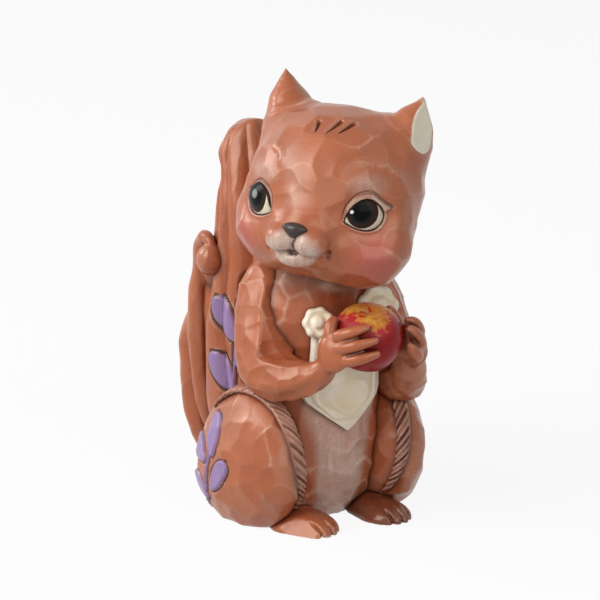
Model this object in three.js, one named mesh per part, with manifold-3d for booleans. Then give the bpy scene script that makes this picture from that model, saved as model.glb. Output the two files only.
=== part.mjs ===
// A squirrel figurine: a cast resin ornament with the look of whittled wood, glued up from separate castings.
// Millimetres, +Z up. The chest faces -Y and the animal's right side is at -X.
// The origin is on the flat underside, below the middle of the haunches.
import * as THREE from 'three';
import { mergeVertices } from 'three/addons/utils/BufferGeometryUtils.js';
import Module from 'manifold-3d';

const wasm = await Module();
wasm.setup();

// Fits between the castings
const GLUE_GAP = 0.3;
const PEG_DIAMETER = 4;
const PEG_DEPTH = 4;
const SMALL_PEG_DIAMETER = 2.2;
const SMALL_PEG_DEPTH = 2.4;

// Torso: a pear of two lumps with a back that meets the tail, cut flat below
const BELLY_WIDTH = 31;
const BELLY_DEPTH = 27;
const BELLY_RISE = 21;
const BELLY_HEIGHT = 17;
const BELLY_BACK = 1.5;
const CHEST_WIDTH = 28;
const CHEST_DEPTH = 24.5;
const CHEST_RISE = 17;
const CHEST_HEIGHT = 39;
const SHOULDER_LUMP = 10.5;
const NECK_WIDTH = 18;
const NECK_HEIGHT = 54;
const NECK_FORWARD = 3.5;
const BACK_WIDTH = 18;
const BACK_DEPTH = 16;
const BACK_RISE = 15;
const BACK_HEIGHT = 40;
const BACK_SET = 8;
const TORSO_SOFTNESS = 8;

// Head: turned and tilted on the neck, all its own sizes in the head's frame
const NECK_LENGTH = 30;
const NECK_PEG_DIAMETER = 9;
const HEAD_FORWARD = 7.5;
const HEAD_TURN = -52;
const HEAD_TILT = 5;
const HEAD_WIDTH = 36;
const HEAD_DEPTH = 35;
const HEAD_HEIGHT = 34;
const CRANIUM_LIFT = 1.5;
const HEAD_SOFTNESS = 5;
const CHEEK_SIZE = 17;
const CHEEK_SPREAD = 19.5;
const CHEEK_FORWARD = 7;
const CHEEK_DROP = 6.5;
const JAW_WIDTH = 22;
const JAW_FORWARD = 7;
const JAW_DROP = 9;
const MUZZLE_LENGTH = 19.5;
const MUZZLE_WIDTH = 11.5;
const MUZZLE_DROP = 3.6;
const LIP_SIZE = 6.8;
const LIP_SPREAD = 5.8;
const LIP_DROP = 5.2;
const CHIN_WIDTH = 8;
const CHIN_DROP = 9.4;
const TUFT_LENGTH = 6;
const TUFT_DIAMETER = 2.4;
const TUFT_SPACING = 2.6;

// Eyes and nose: set into sockets
const EYE_WIDTH = 8.6;
const EYE_HEIGHT = 6.8;
const EYE_THICKNESS = 4.6;
const EYE_SPREAD = 23;
const EYE_FORWARD = 12.9;
const EYE_LIFT = 0.3;
const EYE_ANGLE = 41;
const EYE_SOCKET_REACH = 1.28;
const EYE_SOCKET_SOFTNESS = 3;
const NOSE_WIDTH = 5.4;
const NOSE_HEIGHT = 3.2;
const NOSE_THICKNESS = 3.4;
const NOSE_DROP = 2.6;

// Ears: hollow cones that open to the sides
const EAR_LENGTH = 11.2;
const EAR_WIDTH = 12;
const EAR_THICKNESS = 11.5;
const EAR_WALL = 1.6;
const EAR_ANGLE = 40;
const EAR_BACK = 12;
const EAR_CANT = 24;
const EAR_SWEEP = 20;

// Haunches, fur trims and feet
const HAUNCH_WIDTH = 15.6;
const HAUNCH_LENGTH = 31;
const HAUNCH_HEIGHT = 30;
const HAUNCH_LIFT = 13.6;
const HAUNCH_SPREAD = 29.4;
const HIP_DIAMETER = 21;
const HIP_BACK = 4;
const HIP_DROP = 5;
const TRIM_TUFTS = 11;
const TRIM_DIAMETER = 2.6;
const TRIM_NICK = 0.35;
const TRIM_START = 62;
const TRIM_END = 222;
const TRIM_DRIFT = 0.28;
const LEAF_LENGTH = 8.6;
const LEAF_WIDTH = 4;
const LEAF_THICKNESS = 2.2;
const LEAF_RISE = 0.5;
const LEAVES = [  // where each leaf of the sprig on a thigh lies: to the back, up, and its lean
  [7.6, 6.6, 30], [-0.4, 10.6, 124], [8.6, 14.2, 24], [3.4, 18.4, 76],
];
const FOOT_LENGTH = 14.6;
const FOOT_WIDTH = 10.8;
const FOOT_HEIGHT = 4.6;
const FOOT_SPREAD = 16.4;
const FOOT_FORWARD = 10.8;
const FOOT_TOE_OUT = 6;
const TOE_COUNT = 4;
const TOE_DIAMETER = 3.6;
const TOE_SOFTNESS = 0.7;

// Apple and the paws that hold it
const APPLE_DIAMETER = 14.4;
const APPLE_HEIGHT = 13.6;
const APPLE_LIFT = 42;
const APPLE_FORWARD = 21;
const APPLE_LEAN = 12;
const SHOULDER_DIAMETER = 13.4;
const SHOULDER_HEIGHT = 49.4;
const SHOULDER_SPREAD = 23;
const SHOULDER_BACK = 0;
const ARM_BOW = 0.4;
const ARM_FLATS = [[78, 0.76], [147, 0.9]];  // angle round the arm, and how far out the flat is
const ELBOW_DIAMETER = 12.8;
const ELBOW_SPREAD = 29.8;
const RIGHT_ELBOW_FORWARD = 6;
const RIGHT_ELBOW_HEIGHT = 34.4;
const LEFT_ELBOW_FORWARD = 8.4;
const LEFT_ELBOW_HEIGHT = 28.8;
const FOREARM_DIAMETER = 12;
const FOREARM_SAG = 3;
const WRIST_DIAMETER = 7.6;
const PALM_LENGTH = 8;
const RIGHT_PALM_THICKNESS = 4.2;
const LEFT_PALM_THICKNESS = 6.4;
const PALM_TURN = 90;
const PALM_SWEEP = 21;
const PALM_LIFT = -15;
const PALM_SLOPE = 11;
const FINGER_DIAMETER = 2.3;
const FINGER_COUNT = 3;
const FINGER_PITCH = 15;
const FINGER_RISE = 20;
const FINGER_STAGGER = 3;
const RIGHT_FINGER_START = 80;
const RIGHT_FINGER_LIFT = 10;
const RIGHT_FINGER_REACH = 54;
const LEFT_FINGER_START = 92;
const LEFT_FINGER_LIFT = 2;
const LEFT_FINGER_REACH = 36;
const THUMB_TURN = 100;
const THUMB_REACH = 50;

// Bib: a shield that follows the chest, with a rosette at each shoulder
const BIB_TOP = 46.8;
const BIB_NOTCH = 9;
const BIB_CORNER_RISE = 7;
const BIB_WAIST_RISE = 13;
const BIB_BOTTOM = 20.5;
const BIB_WIDTH = 18.5;
const BIB_THICKNESS = 1.5;
const BIB_STEP = 0.8;
const BIB_BORDER = 2.2;
const ROSETTE_DIAMETER = 6.4;
const ROSETTE_HEIGHT = 1.9;
const RIGHT_ROSETTE_OUT = 6.6;
const RIGHT_ROSETTE_LIFT = 44.1;
const LEFT_ROSETTE_OUT = 10.5;
const LEFT_ROSETTE_LIFT = 47.4;

// Tail: a fluted plume behind the back, with locks laid on it
const TAIL_TOP = 78.5;
const TAIL_WIDTH = 24.5;
const TAIL_DEPTH = 24.5;
const TAIL_TIP_WIDTH = 17;
const TAIL_TIP_DEPTH = 11;
const TAIL_BACK = 24.5;
const TAIL_TIP_BACK = 27;
const TAIL_FOOT_BACK = 21;
const TAIL_SWAY = 2;
const TAIL_BURY = 4;
const TAIL_FLUTES = 10;
const TAIL_FLUTE_DEPTH = 1.2;
const TAIL_FLUTE_SWEEP = 0.4;
const CURL_HEIGHT = 50;
const CURL_BALL_DIAMETER = 7;
const LOCK_DIAMETER = 5.6;
const LOCK_HEIGHT = 35.5;
const BACK_LOCK_HEIGHT = 60;
const BACK_LOCK_SWAY = 1.5;

const SIDES = { right: -1, left: 1 };
const bothSides = (make) => Object.fromEntries(
  Object.entries(SIDES).map(([name, side]) => [name, make(side)]),
);
const degrees = THREE.MathUtils.degToRad;
const vec = (x, y, z) => new THREE.Vector3(x, y, z);

// Painted finishes
const paint = (color, roughness) => new THREE.MeshStandardMaterial({ color, roughness, metalness: 0 });
const fur = paint(0xb1765b, 0.45);
const paleFur = paint(0xc9a38c, 0.5);
const cream = paint(0xd2c2ab, 0.5);
const appleSkin = paint(0x8c2a26, 0.35);
const darkGloss = paint(0x2d2522, 0.15);

// Solids: closed meshes joined and cut

function solid(geometry) {
  const bare = geometry.clone();
  bare.deleteAttribute('normal');
  bare.deleteAttribute('uv');
  const merged = mergeVertices(bare, 1e-4);
  return new wasm.Manifold(new wasm.Mesh({
    numProp: 3,
    vertProperties: new Float32Array(merged.attributes.position.array),
    triVerts: new Uint32Array(merged.index.array),
  }));
}

function skin(body) {
  const mesh = body.getMesh();
  const geometry = new THREE.BufferGeometry();
  geometry.setAttribute('position', new THREE.BufferAttribute(new Float32Array(mesh.vertProperties), 3));
  geometry.setIndex(new THREE.BufferAttribute(new Uint32Array(mesh.triVerts), 1));
  geometry.computeVertexNormals();
  return geometry;
}

const join = (bodies) => bodies.reduce((whole, body) => whole.add(body));
const cut = (body, cutters) => cutters.reduce((rest, cutter) => rest.subtract(cutter), body);

// Largest connected lump of a cut body: slivers beyond a neighbour are trimmed off.
function mainLump(body) {
  return body.decompose().reduce((best, lump) => (lump.volume() > best.volume() ? lump : best));
}

// Clay: fields that are about the distance to a surface, blended softly

function lump(centre, half, turn = [0, 0, 0]) {
  const unturn = new THREE.Quaternion().setFromEuler(new THREE.Euler(...turn.map(degrees))).invert();
  const local = vec(0, 0, 0);
  return (point) => {
    local.copy(point).sub(centre).applyQuaternion(unturn).divide(half);
    const reach = local.length();
    if (reach < 1e-6) return -Math.min(half.x, half.y, half.z);
    return (reach * (reach - 1)) / local.divide(half).length();
  };
}

function blend(softness, fields) {
  return (point) => fields.map((field) => field(point)).reduce((a, b) => {
    const overlap = Math.max(softness - Math.abs(a - b), 0);
    return Math.min(a, b) - (overlap * overlap) / (4 * softness);
  });
}

// A field with shallow hollows pressed into it.
function hollow(softness, field, dents) {
  return (point) => dents.reduce((depth, dent) => {
    const away = -dent(point);
    const overlap = Math.max(softness - Math.abs(depth - away), 0);
    return Math.max(depth, away) + (overlap * overlap) / (4 * softness);
  }, field(point));
}

// Point where a ray leaves a clay field's surface, or the level that lies `grow` outside it.
const RAY_REACH = 70;
function surfacePoint(field, from, direction, grow = 0) {
  const probe = vec(0, 0, 0);
  const outside = (t) => field(probe.copy(from).addScaledVector(direction, t)) > grow;
  let far = RAY_REACH;
  const stride = RAY_REACH / 70;
  while (far > stride && outside(far - stride)) far -= stride;
  let near = far - stride;
  for (let i = 0; i < 30; i += 1) {
    const middle = (near + far) / 2;
    if (outside(middle)) far = middle;
    else near = middle;
  }
  return from.clone().addScaledVector(direction, near);
}

// Closed skin round a field: a geodesic ball drawn in along its rays to the surface.
function wrap(field, centre, detail, grow = 0) {
  const ball = new THREE.IcosahedronGeometry(1, detail);
  const position = ball.attributes.position;
  const ray = vec(0, 0, 0);
  for (let i = 0; i < position.count; i += 1) {
    ray.fromBufferAttribute(position, i).normalize();
    const point = surfacePoint(field, centre, ray, grow);
    position.setXYZ(i, point.x, point.y, point.z);
  }
  return solid(ball);
}

// Tapered form along a curve: a sphere's rings set out along it, each with its own half sizes.
// `facing` is the direction of a ring's first half size; `ripple` varies a ring round its rim.
function limb({
  points, widths, thicknesses = widths, facing, sides, steps, fullness = 0.4, ripple = null, grow = 0,
}) {
  const curve = new THREE.CatmullRomCurve3(points, false, 'centripetal');
  const sample = (list, t) => {
    const place = t * (list.length - 1);
    const index = Math.min(Math.floor(place), list.length - 2);
    return THREE.MathUtils.lerp(list[index], list[index + 1], place - index);
  };
  const ball = new THREE.SphereGeometry(1, sides, steps);
  const position = ball.attributes.position;
  const vertex = vec(0, 0, 0);
  for (let i = 0; i < position.count; i += 1) {
    vertex.fromBufferAttribute(position, i);
    const t = THREE.MathUtils.clamp((1 - vertex.y) / 2, 0, 1);
    const rim = Math.hypot(vertex.x, vertex.z);
    const tangent = curve.getTangentAt(t);
    const across = facing.clone().addScaledVector(tangent, -facing.dot(tangent)).normalize();
    const up = tangent.clone().cross(across);
    const angle = Math.atan2(vertex.z, vertex.x);
    const swell = rim ** fullness * (ripple ? ripple(angle, t) : 1);
    const centre = curve.getPointAt(t).addScaledVector(tangent, -vertex.y * grow);
    const flat = rim < 1e-6 ? 0 : 1;
    centre.addScaledVector(across, flat * Math.cos(angle) * (sample(widths, t) * swell + grow));
    centre.addScaledVector(up, flat * Math.sin(angle) * (sample(thicknesses, t) * swell + grow));
    position.setXYZ(i, centre.x, centre.y, centre.z);
  }
  return solid(ball);
}

// Round peg between two points, and the socket that takes it.
function rod(from, to, diameter) {
  const length = from.distanceTo(to);
  const cylinder = new THREE.CylinderGeometry(diameter / 2, diameter / 2, length, 10);
  const turn = new THREE.Quaternion().setFromUnitVectors(vec(0, 1, 0), to.clone().sub(from).normalize());
  cylinder.applyQuaternion(turn);
  cylinder.translate(...from.clone().add(to).multiplyScalar(0.5).toArray());
  return solid(cylinder);
}

function pegAndSocket(hostField, hostCentre, root, diameter, depth) {
  const outward = root.clone().sub(hostCentre).normalize();
  const tip = surfacePoint(hostField, hostCentre, outward).addScaledVector(outward, -depth);
  const floor = tip.clone().addScaledVector(outward, -GLUE_GAP);
  return { peg: rod(tip, root, diameter), socket: rod(floor, root, diameter + 2 * GLUE_GAP) };
}

// Everything below the plane that the figurine stands on
const GROUND_SIZE = 400;
const groundBox = new THREE.BoxGeometry(GROUND_SIZE, GROUND_SIZE, GROUND_SIZE);
const ground = solid(groundBox.translate(0, 0, -GROUND_SIZE / 2));

// Moves a solid from the head's frame to the figurine's
const headFrame = new THREE.Group();
headFrame.position.set(0, -HEAD_FORWARD, CHEST_HEIGHT + NECK_LENGTH);
headFrame.rotation.set(0, degrees(HEAD_TILT), degrees(HEAD_TURN), 'ZYX');
headFrame.updateMatrix();
const fromHead = (body) => solid(skin(body).applyMatrix4(headFrame.matrix));
const intoHead = (body) => solid(skin(body).applyMatrix4(headFrame.matrix.clone().invert()));

// Torso

const torsoCentre = vec(0, BELLY_BACK / 2, (BELLY_HEIGHT + CHEST_HEIGHT) / 2);
const torsoField = blend(TORSO_SOFTNESS, [
  lump(vec(0, BELLY_BACK, BELLY_HEIGHT), vec(BELLY_WIDTH / 2, BELLY_DEPTH / 2, BELLY_RISE)),
  lump(vec(0, 0, CHEST_HEIGHT), vec(CHEST_WIDTH / 2, CHEST_DEPTH / 2, CHEST_RISE)),
  lump(vec(0, BACK_SET, BACK_HEIGHT), vec(BACK_WIDTH / 2, BACK_DEPTH / 2, BACK_RISE)),
  lump(vec(0, -NECK_FORWARD, NECK_HEIGHT), vec(NECK_WIDTH / 2, NECK_WIDTH / 2, NECK_WIDTH / 2)),
  ...Object.values(SIDES).map((side) => lump(
    vec((side * SHOULDER_SPREAD) / 2.3, -1, SHOULDER_HEIGHT - SHOULDER_LUMP / 3),
    vec(SHOULDER_LUMP / 2, SHOULDER_LUMP / 1.8, SHOULDER_LUMP / 2),
  )),
]);
const TORSO_DETAIL = 5;
const torsoSkin = (grow) => wrap(torsoField, torsoCentre, TORSO_DETAIL, grow);

// Head, in its own frame: the face looks along -Y

const headField = (() => {
  const big = blend(HEAD_SOFTNESS, [
    lump(vec(0, 0, CRANIUM_LIFT), vec(HEAD_WIDTH / 2, HEAD_DEPTH / 2, HEAD_HEIGHT / 2)),
    ...Object.values(SIDES).map((side) => lump(
      vec((side * CHEEK_SPREAD) / 2, -CHEEK_FORWARD, -CHEEK_DROP),
      vec(CHEEK_SIZE / 2, CHEEK_SIZE / 2, CHEEK_SIZE / 2),
    )),
    lump(vec(0, -JAW_FORWARD, -JAW_DROP), vec(JAW_WIDTH / 2, JAW_WIDTH / 2, JAW_WIDTH / 3)),
    lump(
      vec(0, -MUZZLE_LENGTH + MUZZLE_WIDTH / 2, -MUZZLE_DROP),
      vec(MUZZLE_WIDTH / 2, MUZZLE_WIDTH / 1.6, MUZZLE_WIDTH / 2.4),
    ),
  ]);
  const sockets = Object.values(SIDES).map((side) => lump(
    vec((side * EYE_SPREAD) / 2, -EYE_FORWARD, EYE_LIFT).multiplyScalar(EYE_SOCKET_REACH),
    vec(EYE_WIDTH, EYE_THICKNESS, EYE_HEIGHT), [0, 0, side * EYE_ANGLE],
  ));
  return hollow(EYE_SOCKET_SOFTNESS, big, sockets);
})();
const headCentre = vec(0, -3, -1);
const HEAD_DETAIL = 6;

// Lips and chin: rounded lumps joined to the front of the muzzle
function ballLump(centre, half, grow = 0) {
  const ball = new THREE.SphereGeometry(1, 12, 8).rotateX(Math.PI / 2);
  ball.scale(half.x + grow, half.y + grow, half.z + grow);
  return solid(ball.translate(centre.x, centre.y, centre.z));
}
function headSkin(grow) {
  const lips = Object.values(SIDES).map((side) => ballLump(
    vec((side * LIP_SPREAD) / 2, -MUZZLE_LENGTH, -LIP_DROP),
    vec(LIP_SIZE / 2, LIP_SIZE / 2, LIP_SIZE / 2.1), grow,
  ));
  const chin = ballLump(
    vec(0, -MUZZLE_LENGTH + CHIN_WIDTH / 3, -CHIN_DROP),
    vec(CHIN_WIDTH / 2, CHIN_WIDTH / 2, CHIN_WIDTH / 3.2), grow,
  );
  return join([wrap(headField, headCentre, HEAD_DETAIL, grow), ...lips, chin]);
}

// Direction from the head's middle by an angle to the animal's left and an angle up
function gaze(turn, lift) {
  const level = Math.cos(degrees(lift));
  return vec(level * Math.sin(degrees(turn)), -level * Math.cos(degrees(turn)), Math.sin(degrees(lift)));
}

// Flattened ball seated half in the head's surface, facing the way it lies
function headStud(towards, turn, width, height, thickness, grow) {
  const seat = surfacePoint(headField, headCentre, towards.sub(headCentre).normalize());
  const ball = new THREE.SphereGeometry(1, 14, 8).rotateX(Math.PI / 2);
  ball.scale(width / 2 + grow, thickness / 2 + grow, height / 2 + grow);
  ball.rotateZ(degrees(turn));
  ball.translate(seat.x, seat.y, seat.z);
  return solid(ball);
}
function eye(side, grow) {
  const towards = vec((side * EYE_SPREAD) / 2, -EYE_FORWARD, EYE_LIFT);
  return headStud(towards, side * EYE_ANGLE, EYE_WIDTH, EYE_HEIGHT, EYE_THICKNESS, grow);
}
const nose = (grow) => headStud(
  vec(0, -MUZZLE_LENGTH, -NOSE_DROP), 0, NOSE_WIDTH, NOSE_HEIGHT, NOSE_THICKNESS, grow,
);

// Ear: a cone with a scoop taken out of its outer side
const earRoot = (side) => {
  const lean = degrees(EAR_ANGLE);
  const upward = vec(side * Math.sin(lean), EAR_BACK / HEAD_DEPTH, Math.cos(lean));
  return surfacePoint(headField, headCentre, upward.normalize());
};
function earPoint(side, distance, out) {
  const along = vec(side * Math.tan(degrees(EAR_CANT)), Math.tan(degrees(EAR_SWEEP)), 1).normalize();
  return earRoot(side).addScaledVector(along, distance).add(vec(side * out, 0, 0));
}
function earShell(side) {
  const at = (distance, out) => earPoint(side, distance, out);
  const facing = vec(0, 1, 0);
  const cone = limb({
    points: [at(-EAR_WIDTH / 2, -1), at(0, 0), at(EAR_LENGTH / 2, 0.4), at(EAR_LENGTH, 0)],
    widths: [2, 1.9, 2.2, 3.6, 8].map((part) => EAR_WIDTH / part),
    thicknesses: [2, 1.9, 2.3, 4, 9].map((part) => EAR_THICKNESS / part),
    facing, sides: 12, steps: 10,
  });
  const mouth = EAR_THICKNESS / 2 - EAR_WALL;
  const scoop = limb({
    points: [at(-EAR_WALL, mouth * 1.4), at(EAR_LENGTH / 2.4, mouth), at(EAR_LENGTH - EAR_WALL, mouth / 3)],
    widths: [EAR_WIDTH / 2 - EAR_WALL, EAR_WIDTH / 2.2 - EAR_WALL, EAR_WALL / 2],
    thicknesses: [mouth, mouth / 1.4, EAR_WALL / 2],
    facing, sides: 10, steps: 7,
  });
  return cone.subtract(scoop);
}

// Forelock: three short locks lying forward on the crown
function forelock() {
  return join([-1, 0, 1].map((place) => {
    const upward = vec(place * 0.1, -0.12, 1).normalize();
    const start = surfacePoint(headField, headCentre, upward, -TUFT_DIAMETER / 4);
    const tip = start.clone().add(vec((place * TUFT_SPACING) / 2, -TUFT_LENGTH, -TUFT_LENGTH / 4.5));
    const middle = start.clone().add(tip).multiplyScalar(0.5).add(vec(place * 0.6, 0, TUFT_DIAMETER / 5));
    return limb({
      points: [start, middle, tip], widths: [TUFT_DIAMETER / 2, TUFT_DIAMETER / 2, TUFT_DIAMETER / 8],
      facing: vec(1, 0, 0), sides: 6, steps: 6,
    });
  }));
}

// Haunches, trims and feet

const haunchCentre = (side) => vec((side * HAUNCH_SPREAD) / 2, 0, HAUNCH_LIFT);
const haunchField = (side) => blend(HIP_DIAMETER / 3, [
  lump(haunchCentre(side), vec(HAUNCH_WIDTH / 2, HAUNCH_LENGTH / 2, HAUNCH_HEIGHT / 2)),
  lump(
    haunchCentre(side).add(vec(0, HIP_BACK, -HIP_DROP)),
    vec(HAUNCH_WIDTH / 2.1, HIP_DIAMETER / 2, HIP_DIAMETER / 2.4),
  ),
]);
const HAUNCH_DETAIL = 4;
function haunchSkin(side, grow) {
  return wrap(haunchField(side), haunchCentre(side), HAUNCH_DETAIL, grow).subtract(ground);
}

// Leaf of the sprig on a thigh: a flattened ball sunk in the thigh's outer side
function thighLeaf(side, [back, rise, lean]) {
  const field = haunchField(side);
  const start = vec(haunchCentre(side).x, back, rise);
  const seat = surfacePoint(field, start, vec(side, 0, 0));
  const slope = (x, y, z) => field(seat.clone().add(vec(x, y, z))) - field(seat);
  const outward = vec(slope(GLUE_GAP, 0, 0), slope(0, GLUE_GAP, 0), slope(0, 0, GLUE_GAP)).normalize();
  const leaf = new THREE.SphereGeometry(1, 10, 6).rotateX(Math.PI / 2);
  leaf.scale(LEAF_THICKNESS / 2, LEAF_LENGTH / 2, LEAF_WIDTH / 2);
  leaf.rotateX(degrees(lean));
  leaf.applyQuaternion(new THREE.Quaternion().setFromUnitVectors(vec(side, 0, 0), outward));
  seat.addScaledVector(outward, LEAF_RISE - LEAF_THICKNESS / 2);
  return solid(leaf.translate(seat.x, seat.y, seat.z));
}

// Fur trim: a band of slanted tufts along the front edge of the thigh, from behind the hip down to the foot
function furTrim(side, grow) {
  const field = haunchField(side);
  const along = (share) => {
    const angle = degrees(THREE.MathUtils.lerp(TRIM_START, TRIM_END, share));
    const ray = vec(-side * TRIM_DRIFT * share * share, Math.cos(angle), Math.sin(angle)).normalize();
    return surfacePoint(field, haunchCentre(side), ray, TRIM_DIAMETER / 6);
  };
  const sawtooth = (x) => x - Math.floor(x);
  return limb({
    points: [0, 0.2, 0.4, 0.6, 0.8, 1].map(along),
    widths: [TRIM_DIAMETER / 2.6, TRIM_DIAMETER / 2, TRIM_DIAMETER / 2, TRIM_DIAMETER / 2.6],
    facing: vec(1, 0, 0), sides: 6, steps: 3 * TRIM_TUFTS, grow,
    ripple: (angle, t) => 1 + TRIM_NICK * sawtooth(t * TRIM_TUFTS + (side * Math.cos(angle)) / 2),
  });
}

const footCentre = (side) => vec((side * FOOT_SPREAD) / 2, -FOOT_FORWARD, 0);
const footField = (side) => {
  const turn = [0, 0, side * FOOT_TOE_OUT];
  const swing = new THREE.Euler(...turn.map(degrees));
  const at = (x, y, z) => vec(x, y, z).applyEuler(swing).add(footCentre(side));
  const toes = [];
  for (let i = 0; i < TOE_COUNT; i += 1) {
    const place = (i - (TOE_COUNT - 1) / 2) / (TOE_COUNT - 1);
    const x = place * (FOOT_WIDTH - TOE_DIAMETER * 0.8);
    const y = -FOOT_LENGTH / 2 + TOE_DIAMETER / 1.6 + place * place * TOE_DIAMETER * 1.4;
    const half = vec(TOE_DIAMETER / 2, TOE_DIAMETER, TOE_DIAMETER / 1.8);
    toes.push(lump(at(x, y, TOE_DIAMETER / 3.2), half, turn));
  }
  const instep = lump(at(0, FOOT_LENGTH / 8, 0), vec(FOOT_WIDTH / 2, FOOT_LENGTH / 2, FOOT_HEIGHT), turn);
  return blend(TOE_SOFTNESS, [instep, ...toes]);
};
const FOOT_DETAIL = 5;
const footMiddle = (side) => footCentre(side).add(vec(0, 0, FOOT_HEIGHT / 5));
const foot = (side, grow) => wrap(footField(side), footMiddle(side), FOOT_DETAIL, grow).subtract(ground);

// Bib: the chest's own skin, thickened, inside a shield outline

function bibPlate(outline) {
  const depth = CHEST_DEPTH;
  const plate = new THREE.ExtrudeGeometry(outline, { depth, bevelEnabled: false, curveSegments: 4 });
  return solid(plate.rotateX(Math.PI / 2));
}
// Outline: a shield with two lobes that the rosettes sit on, and a deep notch between them
function shield(grow) {
  const half = BIB_WIDTH / 2 + grow;
  const tip = BIB_BOTTOM - grow * 1.3;
  const top = BIB_TOP + grow;
  const lobe = BIB_WIDTH * 0.35 - grow * 2;
  const outline = new THREE.Shape();
  outline.moveTo(0, tip);
  outline.quadraticCurveTo(half * 0.6, tip + 1.5, half * 0.9, tip + BIB_CORNER_RISE);
  outline.quadraticCurveTo(half * 0.9, tip + BIB_WAIST_RISE, half, top - BIB_CORNER_RISE);
  outline.quadraticCurveTo(half * 1.05, top - 1.5, lobe, top);
  outline.quadraticCurveTo(0, top - 2 * BIB_NOTCH + 2 * grow, -lobe, top);
  outline.quadraticCurveTo(-half * 1.05, top - 1.5, -half, top - BIB_CORNER_RISE);
  outline.quadraticCurveTo(-half * 0.9, tip + BIB_WAIST_RISE, -half * 0.9, tip + BIB_CORNER_RISE);
  outline.quadraticCurveTo(-half * 0.6, tip + 1.5, 0, tip);
  return bibPlate(outline);
}
// Raised panel inside the shield's border, below the notch
function panel(grow) {
  const half = (BIB_WIDTH / 2 - BIB_BORDER + grow) * 0.9;
  const tip = BIB_BOTTOM + (BIB_BORDER - grow) * 1.3;
  const top = BIB_TOP - BIB_NOTCH - BIB_BORDER + grow;
  const outline = new THREE.Shape();
  outline.moveTo(0, tip);
  outline.quadraticCurveTo(half * 0.6, tip + 1.5, half, tip + BIB_CORNER_RISE);
  outline.lineTo(half, top);
  outline.lineTo(-half, top);
  outline.lineTo(-half, tip + BIB_CORNER_RISE);
  outline.quadraticCurveTo(-half * 0.6, tip + 1.5, 0, tip);
  return bibPlate(outline);
}
function bibBody(grow) {
  const raised = torsoSkin(GLUE_GAP + BIB_THICKNESS + BIB_STEP + grow).intersect(panel(grow));
  return torsoSkin(GLUE_GAP + BIB_THICKNESS + grow).intersect(shield(grow)).add(raised);
}

function rosette(side, grow) {
  const out = side < 0 ? RIGHT_ROSETTE_OUT : LEFT_ROSETTE_OUT;
  const lift = side < 0 ? RIGHT_ROSETTE_LIFT : LEFT_ROSETTE_LIFT;
  const aim = vec(side * out, -CHEST_DEPTH / 2, lift - CHEST_HEIGHT);
  const outward = aim.clone().normalize();
  const middle = vec(0, 0, CHEST_HEIGHT);
  const seat = surfacePoint(torsoField, middle, outward, BIB_THICKNESS + GLUE_GAP);
  const radius = ROSETTE_DIAMETER / 2 + grow;
  const rise = ROSETTE_HEIGHT + grow;
  const profile = [
    [0, -BIB_STEP], [radius, -BIB_STEP], [radius, rise * 0.45], [radius * 0.82, rise * 0.8],
    [radius * 0.6, rise * 0.62], [radius * 0.45, rise * 0.7], [radius * 0.3, rise], [0, rise * 1.05],
  ];
  const button = new THREE.LatheGeometry(profile.map(([x, y]) => new THREE.Vector2(x, y)), 16);
  button.applyQuaternion(new THREE.Quaternion().setFromUnitVectors(vec(0, 1, 0), outward));
  return solid(button.translate(seat.x, seat.y, seat.z));
}

// Apple and arms

const appleCentre = vec(0, -APPLE_FORWARD, APPLE_LIFT);
function apple(grow) {
  const outline = [
    [0, -0.4], [0.12, -0.46], [0.34, -0.5], [0.66, -0.4], [0.92, -0.14], [1, 0.1],
    [0.93, 0.3], [0.72, 0.45], [0.42, 0.5], [0.14, 0.46], [0, 0.4],
  ];
  const radius = APPLE_DIAMETER / 2 + grow;
  const height = APPLE_HEIGHT + 2 * grow;
  const points = outline.map(([x, y]) => new THREE.Vector2(x * radius, y * height));
  const profile = new THREE.SplineCurve(points).getPoints(12);
  profile[0].x = 0;
  profile[profile.length - 1].x = 0;
  const fruit = new THREE.LatheGeometry(profile, 18).rotateX(Math.PI / 2);
  fruit.rotateX(degrees(APPLE_LEAN));
  return solid(fruit.translate(...appleCentre.toArray()));
}

// Place on or off the apple's skin: an angle round from the front, an angle up, and a distance off it
function roundApple(turn, lift, off) {
  return gaze(turn, lift).multiplyScalar(APPLE_DIAMETER / 2 + off).add(appleCentre);
}

const shoulder = (side) => vec((side * SHOULDER_SPREAD) / 2, SHOULDER_BACK, SHOULDER_HEIGHT);
const elbowPoint = (side) => (side < 0
  ? vec(-ELBOW_SPREAD / 2, -RIGHT_ELBOW_FORWARD, RIGHT_ELBOW_HEIGHT)
  : vec(ELBOW_SPREAD / 2, -LEFT_ELBOW_FORWARD, LEFT_ELBOW_HEIGHT));
const upperArm = (side) => shoulder(side).lerp(elbowPoint(side), 0.5).add(vec(side * ARM_BOW, ARM_BOW, 0));
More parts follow.
